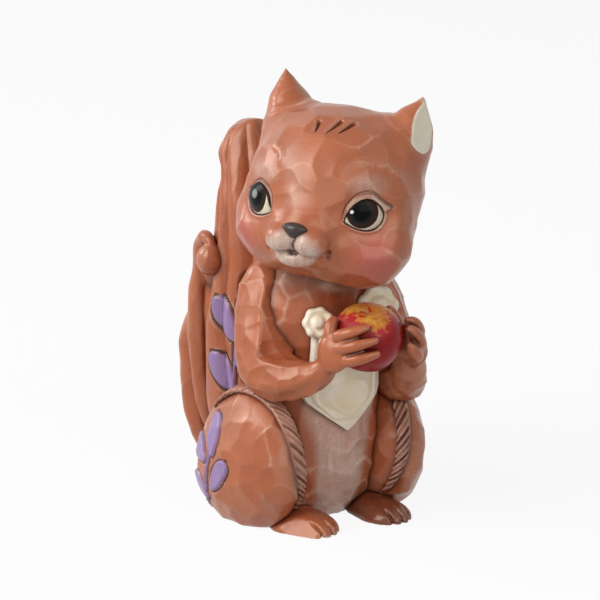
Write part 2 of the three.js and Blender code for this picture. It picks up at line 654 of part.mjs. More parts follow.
// Cross section of a sleeve: a round with flats cut along it, mirrored on the left
function armFlats(side) {
  return (angle) => ARM_FLATS.reduce((reach, [turn, far]) => {
    const lean = Math.cos(angle - degrees(side < 0 ? turn : 180 - turn));
    return lean > far ? Math.min(reach, far / lean) : reach;
  }, 1);
}
function arm(side, grow) {
  const elbow = elbowPoint(side);
  const palmThickness = side < 0 ? RIGHT_PALM_THICKNESS : LEFT_PALM_THICKNESS;
  const palmOff = GLUE_GAP + palmThickness / 2;
  const palm = roundApple(side * PALM_TURN, PALM_LIFT, palmOff);
  const heel = roundApple(side * (PALM_TURN + PALM_SWEEP), PALM_LIFT - PALM_SLOPE, palmOff);
  const knuckles = roundApple(side * (PALM_TURN - PALM_SWEEP), PALM_LIFT + PALM_SLOPE, palmOff);
  const wrist = palm.clone().lerp(elbow, 0.3).add(vec(0, 0, -FOREARM_SAG / 1.3));
  const forearm = palm.clone().lerp(elbow, 0.62).add(vec(side * 0.4, 0, -FOREARM_SAG));
  const top = shoulder(side).add(vec((-side * SHOULDER_DIAMETER) / 4.5, 0, SHOULDER_DIAMETER / 2.5));
  const sleeve = limb({
    points: [top, upperArm(side), elbow, forearm, wrist, palm],
    widths: [
      SHOULDER_DIAMETER / 1.3, SHOULDER_DIAMETER, SHOULDER_DIAMETER, ELBOW_DIAMETER, FOREARM_DIAMETER,
      (FOREARM_DIAMETER + WRIST_DIAMETER) / 2, WRIST_DIAMETER, WRIST_DIAMETER / 1.35,
    ].map((diameter) => diameter / 2),
    facing: vec(1, 0, 0.3), sides: 12, steps: 18, fullness: 0.5, ripple: armFlats(side), grow,
  });
  const hand = limb({
    points: [heel, palm, knuckles],
    widths: [PALM_LENGTH / 2.4, PALM_LENGTH / 2, PALM_LENGTH / 1.9],
    thicknesses: [palmThickness / 2, palmThickness / 2, palmThickness / 2.8],
    facing: vec(0, 0.3, 1), sides: 10, steps: 6, grow,
  });
  const fingerOff = GLUE_GAP + FINGER_DIAMETER / 2;
  const start = side < 0 ? RIGHT_FINGER_START : LEFT_FINGER_START;
  const lift = side < 0 ? RIGHT_FINGER_LIFT : LEFT_FINGER_LIFT;
  const reach = side < 0 ? RIGHT_FINGER_REACH : LEFT_FINGER_REACH;
  const fingers = [];
  for (let i = 0; i < FINGER_COUNT; i += 1) {
    fingers.push(limb({
      points: [0, 0.5, 1].map((share) => roundApple(
        side * (start - i * FINGER_STAGGER - share * reach),
        lift - i * FINGER_PITCH + share * FINGER_RISE,
        THREE.MathUtils.lerp(palmOff, fingerOff, share),
      )),
      widths: [FINGER_DIAMETER / 2, FINGER_DIAMETER / 1.9, FINGER_DIAMETER / 2.4],
      facing: vec(0, 0, 1), sides: 6, steps: 6, grow,
    }));
  }
  const thumb = limb({
    points: [0, 0.5, 1].map((share) => roundApple(
      side * THUMB_TURN, PALM_LIFT + share * THUMB_REACH, fingerOff,
    )),
    widths: [FINGER_DIAMETER / 1.7, FINGER_DIAMETER / 1.8, FINGER_DIAMETER / 2.6],
    facing: vec(0, 1, 0), sides: 6, steps: 6, grow,
  });
  return join([sleeve, hand, thumb, ...fingers]);
}

// Tail and its locks

const tailLine = [
  vec(0, TAIL_FOOT_BACK, -TAIL_BURY), vec(0, TAIL_BACK - TAIL_SWAY / 4, TAIL_TOP * 0.2),
  vec(0, TAIL_BACK + TAIL_SWAY / 4, TAIL_TOP * 0.42), vec(0, TAIL_BACK - TAIL_SWAY, TAIL_TOP * 0.7),
  vec(0, TAIL_TIP_BACK, TAIL_TOP),
];
function tailBody(grow) {
  return limb({
    points: tailLine,
    widths: [TAIL_WIDTH / 2.4, TAIL_WIDTH / 2.05, TAIL_WIDTH / 2, TAIL_WIDTH / 2.3, TAIL_TIP_WIDTH / 2],
    thicknesses: [TAIL_DEPTH / 2.3, TAIL_DEPTH / 2, TAIL_DEPTH / 2.1, TAIL_DEPTH / 2.9, TAIL_TIP_DEPTH / 2],
    facing: vec(1, 0, 0), sides: 4 * TAIL_FLUTES, steps: 16, fullness: 0.3, grow,
    ripple: (angle, t) => {
      const swept = angle - TAIL_FLUTE_SWEEP * (1 - t) ** 2 * Math.sin(2 * angle);
      const groove = (1 - Math.cos(TAIL_FLUTES * swept)) / 2;
      return 1 - ((2 * TAIL_FLUTE_DEPTH) / TAIL_WIDTH) * groove * THREE.MathUtils.smoothstep(t, 0, 0.2);
    },
  }).subtract(ground);
}

// Curl: a lock that climbs the tail's rear corner and ends in a ball
const tailRear = TAIL_BACK + TAIL_DEPTH / 2;
const rearCorner = (side, height, inward, forward) => vec(
  side * (TAIL_WIDTH / 2 - inward), tailRear - forward, height,
);
function curl(side, grow = 0) {
  const ball = rearCorner(side, CURL_HEIGHT, 0.8, 10.6);
  const stem = limb({
    points: [
      rearCorner(side, 6, 5.5, 5), rearCorner(side, CURL_HEIGHT * 0.45, 2, 4.5),
      rearCorner(side, CURL_HEIGHT * 0.75, 0.6, 4.6), ball,
    ],
    widths: [LOCK_DIAMETER / 3, LOCK_DIAMETER / 2, LOCK_DIAMETER / 2.2, LOCK_DIAMETER / 3],
    facing: vec(1, 0, 0), sides: 7, steps: 9, grow,
  });
  const knob = new THREE.SphereGeometry(CURL_BALL_DIAMETER / 2 + grow, 12, 8).scale(1, 1.1, 1.35);
  return stem.add(solid(knob.translate(ball.x, ball.y, ball.z)));
}
function lock(side) {
  return limb({
    points: [
      rearCorner(side, 2, 6, 3.4), rearCorner(side, LOCK_HEIGHT * 0.4, 4, 0.6),
      rearCorner(side, LOCK_HEIGHT * 0.8, 3, -1), rearCorner(side, LOCK_HEIGHT, 4.5, -0.4),
    ],
    widths: [LOCK_DIAMETER / 2.4, LOCK_DIAMETER / 1.8, LOCK_DIAMETER / 1.6, LOCK_DIAMETER / 3],
    facing: vec(1, 0, 0), sides: 7, steps: 9,
  }).subtract(ground);
}
function backLock() {
  return limb({
    points: [
      vec(0, tailRear - 3, 3), vec(-BACK_LOCK_SWAY, tailRear, BACK_LOCK_HEIGHT * 0.35),
      vec(BACK_LOCK_SWAY, tailRear - 1, BACK_LOCK_HEIGHT * 0.7), vec(-1, tailRear - 5, BACK_LOCK_HEIGHT),
    ],
    widths: [LOCK_DIAMETER / 2, LOCK_DIAMETER / 1.6, LOCK_DIAMETER / 1.8, LOCK_DIAMETER / 3],
    facing: vec(1, 0, 0), sides: 8, steps: 12,
  }).subtract(ground);
}

// Assembly: each casting is cut clear of the ones it is glued to

const figure = new THREE.Group();
figure.add(headFrame);
function add(name, body, material, parent = figure) {
  const mesh = new THREE.Mesh(skin(body), material);
  mesh.name = name;
  parent.add(mesh);
}

// Clearance shapes of the castings that others are cut by
const torsoClear = torsoSkin(GLUE_GAP);
const haunchClear = bothSides((side) => haunchSkin(side, GLUE_GAP));
const bibClear = bibBody(GLUE_GAP);
const appleClear = apple(GLUE_GAP);
const tailClear = tailBody(GLUE_GAP);
const headClearLocal = headSkin(GLUE_GAP);
const headClear = fromHead(headClearLocal);

const neckTop = headFrame.position.clone();
const neckPeg = rod(vec(0, 0, CHEST_HEIGHT), neckTop, NECK_PEG_DIAMETER);
const neckSocket = rod(vec(0, 0, CHEST_HEIGHT - GLUE_GAP), neckTop, NECK_PEG_DIAMETER + 2 * GLUE_GAP);
const torsoPeg = (root) => pegAndSocket(torsoField, vec(0, 0, root.z), root, PEG_DIAMETER, PEG_DEPTH);
const hipPegs = bothSides((side) => torsoPeg(haunchCentre(side).add(vec((side * HAUNCH_WIDTH) / 4, 0, 0))));
const shoulderPegs = bothSides((side) => torsoPeg(
  upperArm(side).add(vec((side * SHOULDER_DIAMETER) / 5, 0, 0)),
));
const tailPegs = [HAUNCH_LIFT, CHEST_HEIGHT].map((height) => torsoPeg(vec(0, TAIL_BACK, height)));
const earPegs = bothSides((side) => pegAndSocket(
  headField, headCentre, earPoint(side, EAR_WALL, -EAR_WALL), SMALL_PEG_DIAMETER, SMALL_PEG_DEPTH,
));
const sockets = (pegs) => Object.values(pegs).map((fit) => fit.socket);

add('torso', cut(torsoSkin(0).subtract(ground), [
  neckSocket, ...sockets(hipPegs), ...sockets(shoulderPegs), ...sockets(tailPegs),
]), fur);

const headBody = cut(headSkin(0).add(forelock()).subtract(intoHead(torsoClear)), [
  ...Object.values(SIDES).map((side) => eye(side, GLUE_GAP)), nose(GLUE_GAP), ...sockets(earPegs),
]);
add('head', headBody.add(intoHead(neckPeg)), fur, headFrame);
add('nose', nose(0), darkGloss, headFrame);

for (const [name, side] of Object.entries(SIDES)) {
  add(`eye_${name}`, eye(side, 0), darkGloss, headFrame);
  const shell = mainLump(earShell(side).subtract(headClearLocal));
  add(`ear_${name}`, shell.add(earPegs[name].peg), fur, headFrame);
}

for (const [name, side] of Object.entries(SIDES)) {
  const thigh = mainLump(cut(haunchSkin(side, 0), [torsoClear]));
  const sprig = LEAVES.map((leaf) => thighLeaf(side, leaf));
  add(`haunch_${name}`, join([thigh, hipPegs[name].peg, ...sprig]), fur);
  add(`foot_${name}`, mainLump(cut(foot(side, 0), [torsoClear, haunchClear[name]])), fur);
  add(`haunch_trim_${name}`, mainLump(cut(furTrim(side, 0), [
    haunchClear[name], torsoClear, foot(side, GLUE_GAP),
  ])), paleFur);
  add(`bib_rosette_${name}`, mainLump(cut(rosette(side, 0), [bibClear, torsoClear, headClear])), cream);
  const limbs = cut(arm(side, 0), [
    torsoClear, haunchClear[name], bibClear, appleClear, headClear, rosette(side, GLUE_GAP),
    furTrim(side, GLUE_GAP),
  ]);
  add(`arm_${name}`, mainLump(limbs).add(shoulderPegs[name].peg), fur);
}
add('bib', mainLump(cut(bibBody(0), [torsoClear, headClear])), cream);
add('apple', mainLump(cut(apple(0), [bibClear])), appleSkin);

const tailCore = mainLump(cut(tailBody(0), [torsoClear, headClear, ...Object.values(haunchClear)]));
add('tail', join([tailCore, ...tailPegs.map((fit) => fit.peg)]), fur);
for (const [name, side] of Object.entries(SIDES)) {
  add(`tail_curl_${name}`, mainLump(cut(curl(side), [tailClear, haunchClear[name]])), fur);
  add(`tail_lock_${name}`, mainLump(cut(lock(side), [tailClear, curl(side, GLUE_GAP)])), fur);
}
add('tail_lock_back', mainLump(cut(backLock(), [tailClear])), fur);

export default figure;
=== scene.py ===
import bpy
import bmesh
import math
import numpy as np
from mathutils import Matrix, Vector
from mathutils.bvhtree import BVHTree


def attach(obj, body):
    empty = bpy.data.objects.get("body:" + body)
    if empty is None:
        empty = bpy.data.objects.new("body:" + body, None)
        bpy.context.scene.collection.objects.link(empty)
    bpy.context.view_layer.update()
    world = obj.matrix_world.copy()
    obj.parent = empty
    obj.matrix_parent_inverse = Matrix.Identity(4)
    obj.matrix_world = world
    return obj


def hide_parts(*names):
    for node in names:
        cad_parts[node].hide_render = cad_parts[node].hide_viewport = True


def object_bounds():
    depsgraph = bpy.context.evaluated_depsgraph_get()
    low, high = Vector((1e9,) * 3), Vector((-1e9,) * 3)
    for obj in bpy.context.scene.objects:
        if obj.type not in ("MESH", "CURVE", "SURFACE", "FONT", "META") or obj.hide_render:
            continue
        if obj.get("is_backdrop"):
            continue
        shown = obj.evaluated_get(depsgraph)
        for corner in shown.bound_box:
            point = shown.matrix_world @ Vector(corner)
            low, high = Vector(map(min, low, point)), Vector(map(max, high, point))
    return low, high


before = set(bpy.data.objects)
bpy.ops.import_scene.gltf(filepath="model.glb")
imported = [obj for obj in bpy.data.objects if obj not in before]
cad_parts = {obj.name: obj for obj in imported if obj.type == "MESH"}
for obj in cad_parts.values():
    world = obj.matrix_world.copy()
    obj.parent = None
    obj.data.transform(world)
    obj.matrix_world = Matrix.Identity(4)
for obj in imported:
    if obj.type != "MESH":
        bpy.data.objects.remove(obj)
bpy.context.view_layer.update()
scene = bpy.context.scene
mm = 0.001  # pieces are shaped in millimetres and scaled when they are finished
sides = {"right": -1, "left": 1}
finished = []  # every piece of the object, for the seam wash and painted contact shade at the end
print("frame loaded")


# small tools for arrays of points

def unit(v):
    return v / np.maximum(np.linalg.norm(v, axis=-1, keepdims=True), 1e-9)


def smooth(low, high, x):
    t = np.clip((x - low) / (high - low), 0, 1)
    return t * t * (3 - 2 * t)


def bell(x, width):
    return np.exp(-(x / width) ** 2)


def coordsOf(mesh):
    co = np.empty(len(mesh.vertices) * 3, np.float32)
    mesh.vertices.foreach_get("co", co)
    return co.reshape(-1, 3).astype(float)


def setCoords(mesh, co):
    mesh.vertices.foreach_set("co", co.astype(np.float32).ravel())
    mesh.update()


def normalsOf(mesh):
    no = np.empty(len(mesh.vertices) * 3, np.float32)
    mesh.vertex_normals.foreach_get("vector", no)
    return no.reshape(-1, 3).astype(float)


def linksOf(mesh):
    pairs = np.empty(len(mesh.edges) * 2, np.int32)
    mesh.edges.foreach_get("vertices", pairs)
    return pairs.reshape(-1, 2).T


def relax(values, links, rounds):  # averages each vertex with its neighbours
    a, b = links
    n = len(values)
    values = values.reshape(n, -1)
    keep = 0.4  # share of its own value that a vertex keeps
    count = np.maximum(np.bincount(a, minlength=n) + np.bincount(b, minlength=n), 1)
    for i in range(rounds):
        total = np.empty_like(values)
        for k in range(values.shape[1]):
            total[:, k] = np.bincount(a, values[b, k], n) + np.bincount(b, values[a, k], n)
        values = values * keep + (1 - keep) * total / count[:, None]
    return values


def alongRows(t, steps, rows):  # rows of numbers, read between their steps
    return np.stack([np.interp(t, steps, rows[:, k]) for k in range(rows.shape[1])], 1)


def awayFrom(co, at):
    return np.linalg.norm(co - np.array(at), axis=1)


def mirrored(at, side):  # a place given on the left, for either side
    return (side * at[0],) + tuple(at[1:])


def setMask(mesh, name, values):  # a paint mask that the finishes read
    layer = mesh.attributes.get(name) or mesh.attributes.new(name, "FLOAT", "POINT")
    layer.data.foreach_set("value", np.asarray(values, np.float32).ravel())


def getMask(mesh, name):
    values = np.zeros(len(mesh.vertices), np.float32)
    if name in mesh.attributes:
        mesh.attributes[name].data.foreach_get("value", values)
    return values.astype(float)


def addMask(mesh, name, more):
    setMask(mesh, name, np.clip(getMask(mesh, name) + more, 0, 1))


def smoothPath(points, count, closed=False):  # Catmull-Rom through the points, evenly spaced
    p = np.asarray(points, float)
    if closed:
        p = np.vstack([p[-1], p, p[:2]])
    else:
        p = np.vstack([2 * p[0] - p[1], p, 2 * p[-1] - p[-2]])
    fine = []
    for i in range(1, len(p) - 2):
        t = np.linspace(0, 1, 24, endpoint=False)[:, None]
        a, b, c, d = p[i - 1], p[i], p[i + 1], p[i + 2]
        fine.append(0.5 * (2 * b + (c - a) * t + (2 * a - 5 * b + 4 * c - d) * t ** 2
                           + (3 * b - a - 3 * c + d) * t ** 3))
    fine = np.vstack(fine + [p[-2][None]])
    run = np.concatenate([[0], np.cumsum(np.linalg.norm(np.diff(fine, axis=0), axis=1))])
    even = np.linspace(0, run[-1], count)
    return alongRows(even, run, fine)


def pathGap(points, path):  # least distance to a path, and the share along it where that is
    best = np.full(len(points), 1e9)
    share = np.zeros(len(points))
    for i in range(len(path) - 1):
        a, step = path[i], path[i + 1] - path[i]
        t = np.clip((points - a) @ step / max(step @ step, 1e-12), 0, 1)
        gap = np.linalg.norm(points - a - t[:, None] * step, axis=1)
        near = gap < best
        best[near] = gap[near]
        share[near] = (i + t[near]) / (len(path) - 1)
    return best, share


def snap(path, co):  # lays a path on the nearest points of a skin
    return np.array([co[np.argmin(((co - at) ** 2).sum(1))] for at in path])


def drawnGap(co, points, count):  # as pathGap, for a line drawn on the skin
    return pathGap(co, snap(smoothPath(points, count), co))


def ovalGap(co, oval):  # 0 in the middle of an oval, 1 at its skin
    return np.linalg.norm((co - np.array(oval["at"])) / np.array(oval["half"]), axis=1)


def outlineGap(points, outline):  # distance to a closed outline in a plane, negative inside
    gap = pathGap(points, outline)[0]
    inside = np.zeros(len(points), bool)
    for i in range(len(outline) - 1):
        (x0, y0), (x1, y1) = outline[i], outline[i + 1]
        cross = (y0 > points[:, 1]) != (y1 > points[:, 1])
        at = x0 + (points[:, 1] - y0) * (x1 - x0) / (y1 - y0 if abs(y1 - y0) > 1e-9 else 1e-9)
        inside ^= cross & (points[:, 0] < at)
    return np.where(inside, -gap, gap)


# clay: soft lumps that a ball is drawn in on

def lumpGap(p, lump):
    turn = np.array(Matrix.Rotation(math.radians(lump.get("turn", 0)), 3, "Z"))
    a = (p - np.array(lump["at"])) @ turn / np.array(lump["half"])
    reach = np.linalg.norm(a, axis=1)
    return reach * (reach - 1) / np.maximum(np.linalg.norm(a / np.array(lump["half"]), axis=1), 1e-6)


def mirroredLump(lump, side):
    return dict(lump, at=mirrored(lump["at"], side), turn=side * lump.get("turn", 0))


def clayGap(p, clay):  # distance to the clay's skin: lumps melt together, or are cut or kept
    gap = None
    for lump in clay:
        d = lumpGap(p, lump)
        soft = lump.get("soft", 1)
        if gap is None:
            gap = d
        elif lump.get("keep"):
            gap = np.maximum(gap, d)
        elif lump.get("cut"):
            lap = np.maximum(soft - np.abs(gap + d), 0)
            gap = np.maximum(gap, -d) + lap * lap / (4 * soft)
        else:
            lap = np.maximum(soft - np.abs(gap - d), 0)
            gap = np.minimum(gap, d) - lap * lap / (4 * soft)
    return gap


def drawIn(middle, ray, reach, clay):  # slides in along each ray until it meets the clay
    rounds, share = 40, 0.85  # steps, and the share of the gap that each one takes
    r = np.full(len(ray), float(reach))
    for i in range(rounds):
        r -= share * clayGap(middle + ray * r[:, None], clay)
    return middle + ray * r[:, None]


def newBall(rounds, radius=1):
    bm = bmesh.new()
    bmesh.ops.create_icosphere(bm, subdivisions=rounds, radius=radius)
    return bm


def lay(bm, half, at, turn=Matrix.Identity(3)):  # sizes, turns and places a form
    bmesh.ops.scale(bm, vec=half, verts=bm.verts)
    bmesh.ops.rotate(bm, cent=(0, 0, 0), matrix=turn, verts=bm.verts)
    bmesh.ops.translate(bm, vec=Vector(at), verts=bm.verts)


def wrapBall(name, clay, centre, rounds, reach, dense=()):
    bm = newBall(rounds)
    for aim, angle in dense:  # finer mesh where a feature is
        aim = Vector(aim).normalized()
        limit = math.cos(math.radians(angle))
        edges = [e for e in bm.edges if all(v.co.normalized().dot(aim) > limit for v in e.verts)]
        bmesh.ops.subdivide_edges(bm, edges=edges, cuts=1, use_grid_fill=True)
    bmesh.ops.triangulate(bm, faces=[f for f in bm.faces if len(f.verts) > 3])
    mesh = bpy.data.meshes.new(name)
    bm.to_mesh(mesh)
    bm.free()
    setCoords(mesh, drawIn(np.array(centre, float), unit(coordsOf(mesh)), reach, clay))
    return mesh


def bendBall(spec):  # a ball drawn out along a path, with its own half sizes on the way
    bm = bmesh.new()
    bmesh.ops.create_uvsphere(bm, u_segments=spec["around"], v_segments=spec["along"], radius=1)
    co = np.array([v.co for v in bm.verts])
    path = smoothPath(spec["points"], 200)
    t = np.clip((1 - co[:, 2]) / 2, 0, 1)
    rim = np.hypot(co[:, 0], co[:, 1])
    steps = np.linspace(0, 1, 200)
    tangents = unit(np.gradient(path, axis=0))
    at = alongRows(t, steps, path)
    along = unit(alongRows(t, steps, tangents))
    facing = np.array(spec["facing"], float)
    across = unit(facing - along * (along @ facing)[:, None])
    up = np.cross(along, across)
    angle = np.arctan2(co[:, 1], co[:, 0])
    swell = np.where(rim < 1e-6, 0, rim ** spec.get("full", 0.4))
    if "ripple" in spec:
        swell = swell * spec["ripple"](angle, t)
    widths = np.interp(t, np.linspace(0, 1, len(spec["widths"])), spec["widths"])
    depths = spec.get("depths", spec["widths"])
    depths = np.interp(t, np.linspace(0, 1, len(depths)), depths)
    wide = np.cos(angle) * widths * swell
    deep = np.sin(angle) * depths * swell
    for v, p in zip(bm.verts, at + across * wide[:, None] + up * deep[:, None]):
        v.co = p
    bmesh.ops.recalc_face_normals(bm, faces=bm.faces)
    return bm


def meshFrom(name, bms):  # joins bmeshes in one mesh
    whole = bmesh.new()
    for bm in bms:
        part = bpy.data.meshes.new("part")
        bm.to_mesh(part)
        bm.free()
        whole.from_mesh(part)
        bpy.data.meshes.remove(part)
    mesh = bpy.data.meshes.new(name)
    whole.to_mesh(mesh)
    whole.free()
    return mesh


def fuse(mesh, voxel, rounds):  # melts overlapping lumps into one skin
    lump = bpy.data.objects.new("lump", mesh)
    scene.collection.objects.link(lump)
    melt = lump.modifiers.new("melt", "REMESH")
    melt.mode = "VOXEL"
    melt.voxel_size = voxel
    graph = bpy.context.evaluated_depsgraph_get()
    skin = bpy.data.meshes.new_from_object(lump.evaluated_get(graph))
    skin.name = mesh.name
    bpy.data.objects.remove(lump)
    bpy.data.meshes.remove(mesh)
    setCoords(skin, relax(coordsOf(skin), linksOf(skin), rounds))
    return skin


# knife work: flat facets with soft ridges between them

def scatter(points, size, seed):
    rng = np.random.RandomState(seed)
    order = rng.permutation(len(points))
    free = np.ones(len(points), bool)
    picks = []
    for i in order:
        if not free[i]:
            continue
        picks.append(i)
        free &= ((points - points[i]) ** 2).sum(1) > size * size
    return np.array(picks)


def sharpen(knife, shift):  # the same knife with other cuts
    return dict(knife, seed=knife["seed"] + shift)


def whittle(mesh, knife, hold=None):  # shallow chips that meet in soft ridges
    longest, ridgeWide = 1.4, 0.07  # how drawn out a chip may be, and the pale line on a ridge
    batch = 3000  # points at a time
    co, links = coordsOf(mesh), linksOf(mesh)
    no = unit(relax(normalsOf(mesh), links, 6))
    hold = np.ones(len(co)) if hold is None else hold
    rng = np.random.RandomState(knife["seed"])
    size = knife["size"]
    wave = co[:, [1, 2, 0]] * 1.15 / size
    sway = 0.16 * size * np.sin(wave * 2 + np.array([0, 2, 4]) + knife["seed"])
    scaled = (co + sway) * np.array(knife.get("stretch", (1, 1, 1)))
    picks = scatter(scaled, size, knife["seed"])
    grain = rng.normal(0, 1, (len(picks), 3))
    grain = unit(grain - no[picks] * (grain * no[picks]).sum(1)[:, None])
    long = rng.uniform(0, longest, len(picks))
    start = rng.uniform(-0.12, 0.12, len(picks))
    tones = rng.uniform(-1, 1, len(picks))
    lift, edge, tone = np.zeros(len(co)), np.zeros(len(co)), np.zeros(len(co))
    near = min(8, len(picks))
    for at in range(0, len(co), batch):
        span = slice(at, at + batch)
        away = ((scaled[span, None] - scaled[picks][None]) ** 2).sum(2)
        seeds = np.argpartition(away, near - 1, axis=1)[:, :near]
        gap = (scaled[span, None] - scaled[picks][seeds]) / size
        value = (gap ** 2).sum(2) + long[seeds] * (gap * grain[seeds]).sum(2) ** 2 + start[seeds]
        ranked = np.sort(value, axis=1)
        share = np.exp(-(value - ranked[:, :1]) / knife["soft"])
        lift[span] = ranked[:, 0] - knife["soft"] * np.log(share.sum(1))
        edge[span] = bell(ranked[:, 1] - ranked[:, 0], ridgeWide)
        tone[span] = (share * tones[seeds]).sum(1) / share.sum(1)
    lift = knife["depth"] * (lift - lift.mean())
    setCoords(mesh, co + no * (lift * hold)[:, None])
    setMask(mesh, "edge", edge * hold)
    setMask(mesh, "tone", tone * hold)


def press(mesh, depth):  # moves the skin along its normals
    setCoords(mesh, coordsOf(mesh) + normalsOf(mesh) * depth[:, None])


def weather(mesh, near=3, far=14):  # worn ridges and dark hollows, from the shape itself
    co, links, no = coordsOf(mesh), linksOf(mesh), normalsOf(mesh)
    fine = ((relax(co, links, near) - co) * no).sum(1)
    broad = ((relax(co, links, far) - co) * no).sum(1)
    setMask(mesh, "wear_and_highlight", smooth(0.012, 0.09, -fine) + 0.5 * smooth(0.05, 0.3, -broad))
    setMask(mesh, "wash_and_shade", smooth(0.012, 0.10, fine) + 0.8 * smooth(0.05, 0.35, broad))


def sitFlat(mesh, middle=None):  # the underside is cut flat
    co = coordsOf(mesh)
    if middle is not None:  # slides to the floor along rays from the middle
        low = co[:, 2] < 0
        share = middle[2] / (middle[2] - co[low, 2])
        co[low] = np.array(middle) + (co[low] - np.array(middle)) * share[:, None]
    co[:, 2] = np.maximum(co[:, 2], 0)
    setCoords(mesh, co)


def finish(mesh, node, paint, turn=None):  # puts a piece in the place of its node
    if turn is None:
        sitFlat(mesh)
    else:
        mesh.transform(turn)
    mesh.transform(Matrix.Scale(mm, 4))
    mesh.shade_smooth()
    mesh.materials.append(paint)
    piece = bpy.data.objects.new(node + "_piece", mesh)
    scene.collection.objects.link(piece)
    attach(piece, "root")
    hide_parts(node)
    finished.append(piece)
    print("made", node, len(mesh.polygons), "faces")


# finishes

def srgb(*colour):  # a colour as it looks, to the light values that nodes take
    shares = [c / 255 for c in colour]
    return tuple(c / 12.92 if c <= 0.04045 else ((c + 0.055) / 1.055) ** 2.4 for c in shares) + (1,)


def newFinish(name, roughness, gloss):
    paint = bpy.data.materials.new(name)
    paint.use_nodes = True
    shader = paint.node_tree.nodes["Principled BSDF"]
    shader.inputs["Roughness"].default_value = roughness
    shader.inputs["Specular IOR Level"].default_value = gloss
    return paint, paint.node_tree, shader


def maskNode(tree, name):
    node = tree.nodes.new("ShaderNodeAttribute")
    node.attribute_name = name
    return node.outputs["Fac"]


def noiseNode(tree, scale, detail, stretch=None):
    place = tree.nodes.new("ShaderNodeTexCoord").outputs["Object"]
    if stretch:
        mapping = tree.nodes.new("ShaderNodeMapping")
        mapping.inputs["Scale"].default_value = stretch
        tree.links.new(place, mapping.inputs["Vector"])
        place = mapping.outputs["Vector"]
    node = tree.nodes.new("ShaderNodeTexNoise")
    node.inputs["Scale"].default_value = scale
    node.inputs["Detail"].default_value = detail
    tree.links.new(place, node.inputs["Vector"])
    return node.outputs["Fac"]


def spread(tree, value, low, high, to=(0, 1)):
    node = tree.nodes.new("ShaderNodeMapRange")
    tree.links.new(value, node.inputs["Value"])
    node.inputs["From Min"].default_value = low
    node.inputs["From Max"].default_value = high
    node.inputs["To Min"].default_value = to[0]
    node.inputs["To Max"].default_value = to[1]
    return node.outputs["Result"]


def mathNode(tree, how, a, b):
    node = tree.nodes.new("ShaderNodeMath")
    node.operation = how
    node.use_clamp = how in ("ADD", "MULTIPLY")
    for socket, value in zip(node.inputs, (a, b)):
        if isinstance(value, (int, float)):
            socket.default_value = value
        else:
            tree.links.new(value, socket)
    return node.outputs[0]


def over(tree, base, colour, amount):  # brushes a colour over what is there
    node = tree.nodes.new("ShaderNodeMix")
    node.data_type = "RGBA"
    tree.links.new(amount, node.inputs[0])
    for socket, value in ((node.inputs[6], base), (node.inputs[7], colour)):
        if isinstance(value, tuple):
            socket.default_value = value
        else:
            tree.links.new(value, socket)
    return node.outputs[2]


def coats(tree, tints, first, layers):  # one tint over another
    colour = tints[first]
    for tint, amount in layers:
        colour = over(tree, colour, tints[tint], amount)
    return colour


def patchy(tree, mask, noise, low, high, to=(0, 1)):  # a mask that a noise breaks up
    return mathNode(tree, "MULTIPLY", mask, spread(tree, noise, low, high, to))


def seenNode(tree):  # 1 where the camera or a reflection looks, 0 where light falls
    path = tree.nodes.new("ShaderNodeLightPath")
    reflected = mathNode(tree, "ADD", path.outputs["Is Glossy Ray"], path.outputs["Is Transmission Ray"])
    return mathNode(tree, "ADD", path.outputs["Is Camera Ray"], reflected)


def bumpNode(tree, shader, height, strength, distance):
    node = tree.nodes.new("ShaderNodeBump")
    node.inputs["Strength"].default_value = strength
    node.inputs["Distance"].default_value = distance
    tree.links.new(height, node.inputs["Height"])
    tree.links.new(node.outputs["Normal"], shader.inputs["Normal"])


furTints = {
    "brown": srgb(168, 92, 59),
    "warm": srgb(180, 99, 62),
    "dull": srgb(138, 71, 46),
    "pale": srgb(222, 186, 162),
    "deep": srgb(70, 27, 15),
    "dust_and_sheen": srgb(212, 199, 187),
    "blush": srgb(180, 76, 84),
    "lavender": srgb(150, 124, 172),
    "cream": srgb(238, 228, 206),
    "liner": srgb(40, 18, 11),
}


def makeFur():
    paint, tree, shader = newFinish("whittledFur", 0.36, 0.58)
    shader.inputs["Specular Tint"].default_value = (1, 0.86, 0.74, 1)
    mottle = noiseNode(tree, 130, 4)
    streak = noiseNode(tree, 420, 3)
    speckle = noiseNode(tree, 3200, 2)
    brushed = noiseNode(tree, 900, 3, (1, 1, 0.14))
    tone = maskNode(tree, "tone")
    chalk = patchy(tree, maskNode(tree, "dust_and_sheen"), speckle, 0.3, 0.62, (0.5, 1))
    chalk = patchy(tree, chalk, brushed, 0.3, 0.6, (0.6, 1))
    chalk = patchy(tree, chalk, mottle, 0.36, 0.62, (0.62, 1))
    colour = coats(tree, furTints, "brown", [
        ("warm", spread(tree, mottle, 0.35, 0.68)),
        ("dull", spread(tree, tone, 0.1, 1.0, (0, 0.12))),
        ("pale", spread(tree, tone, -0.2, -1.0, (0, 0.12))),
        ("pale", patchy(tree, maskNode(tree, "edge"), mottle, 0.42, 0.66, (0, 0.24))),
        ("pale", patchy(tree, maskNode(tree, "wear_and_highlight"), streak, 0.3, 0.6, (0.24, 0.72))),
        ("dust_and_sheen", chalk),
        ("blush", maskNode(tree, "blush")),
        ("cream", maskNode(tree, "cream")),
        ("lavender", maskNode(tree, "lavender")),
        ("deep", patchy(tree, maskNode(tree, "wash_and_shade"), mottle, 0.3, 0.6, (0.6, 0.95))),
        ("deep", maskNode(tree, "seam_shade")),
        ("liner", maskNode(tree, "liner")),
    ])
    tree.links.new(colour, shader.inputs["Base Color"])
    tree.links.new(spread(tree, streak, 0.3, 0.7, (0.24, 0.36)), shader.inputs["Roughness"])
    bumpNode(tree, shader, streak, 0.12, 0.0003)
    return paint


creamTints = {
    "cream": srgb(246, 231, 197),
    "light": srgb(255, 248, 228),
    "tan": srgb(178, 140, 108),
    "deep": srgb(96, 62, 42),
}


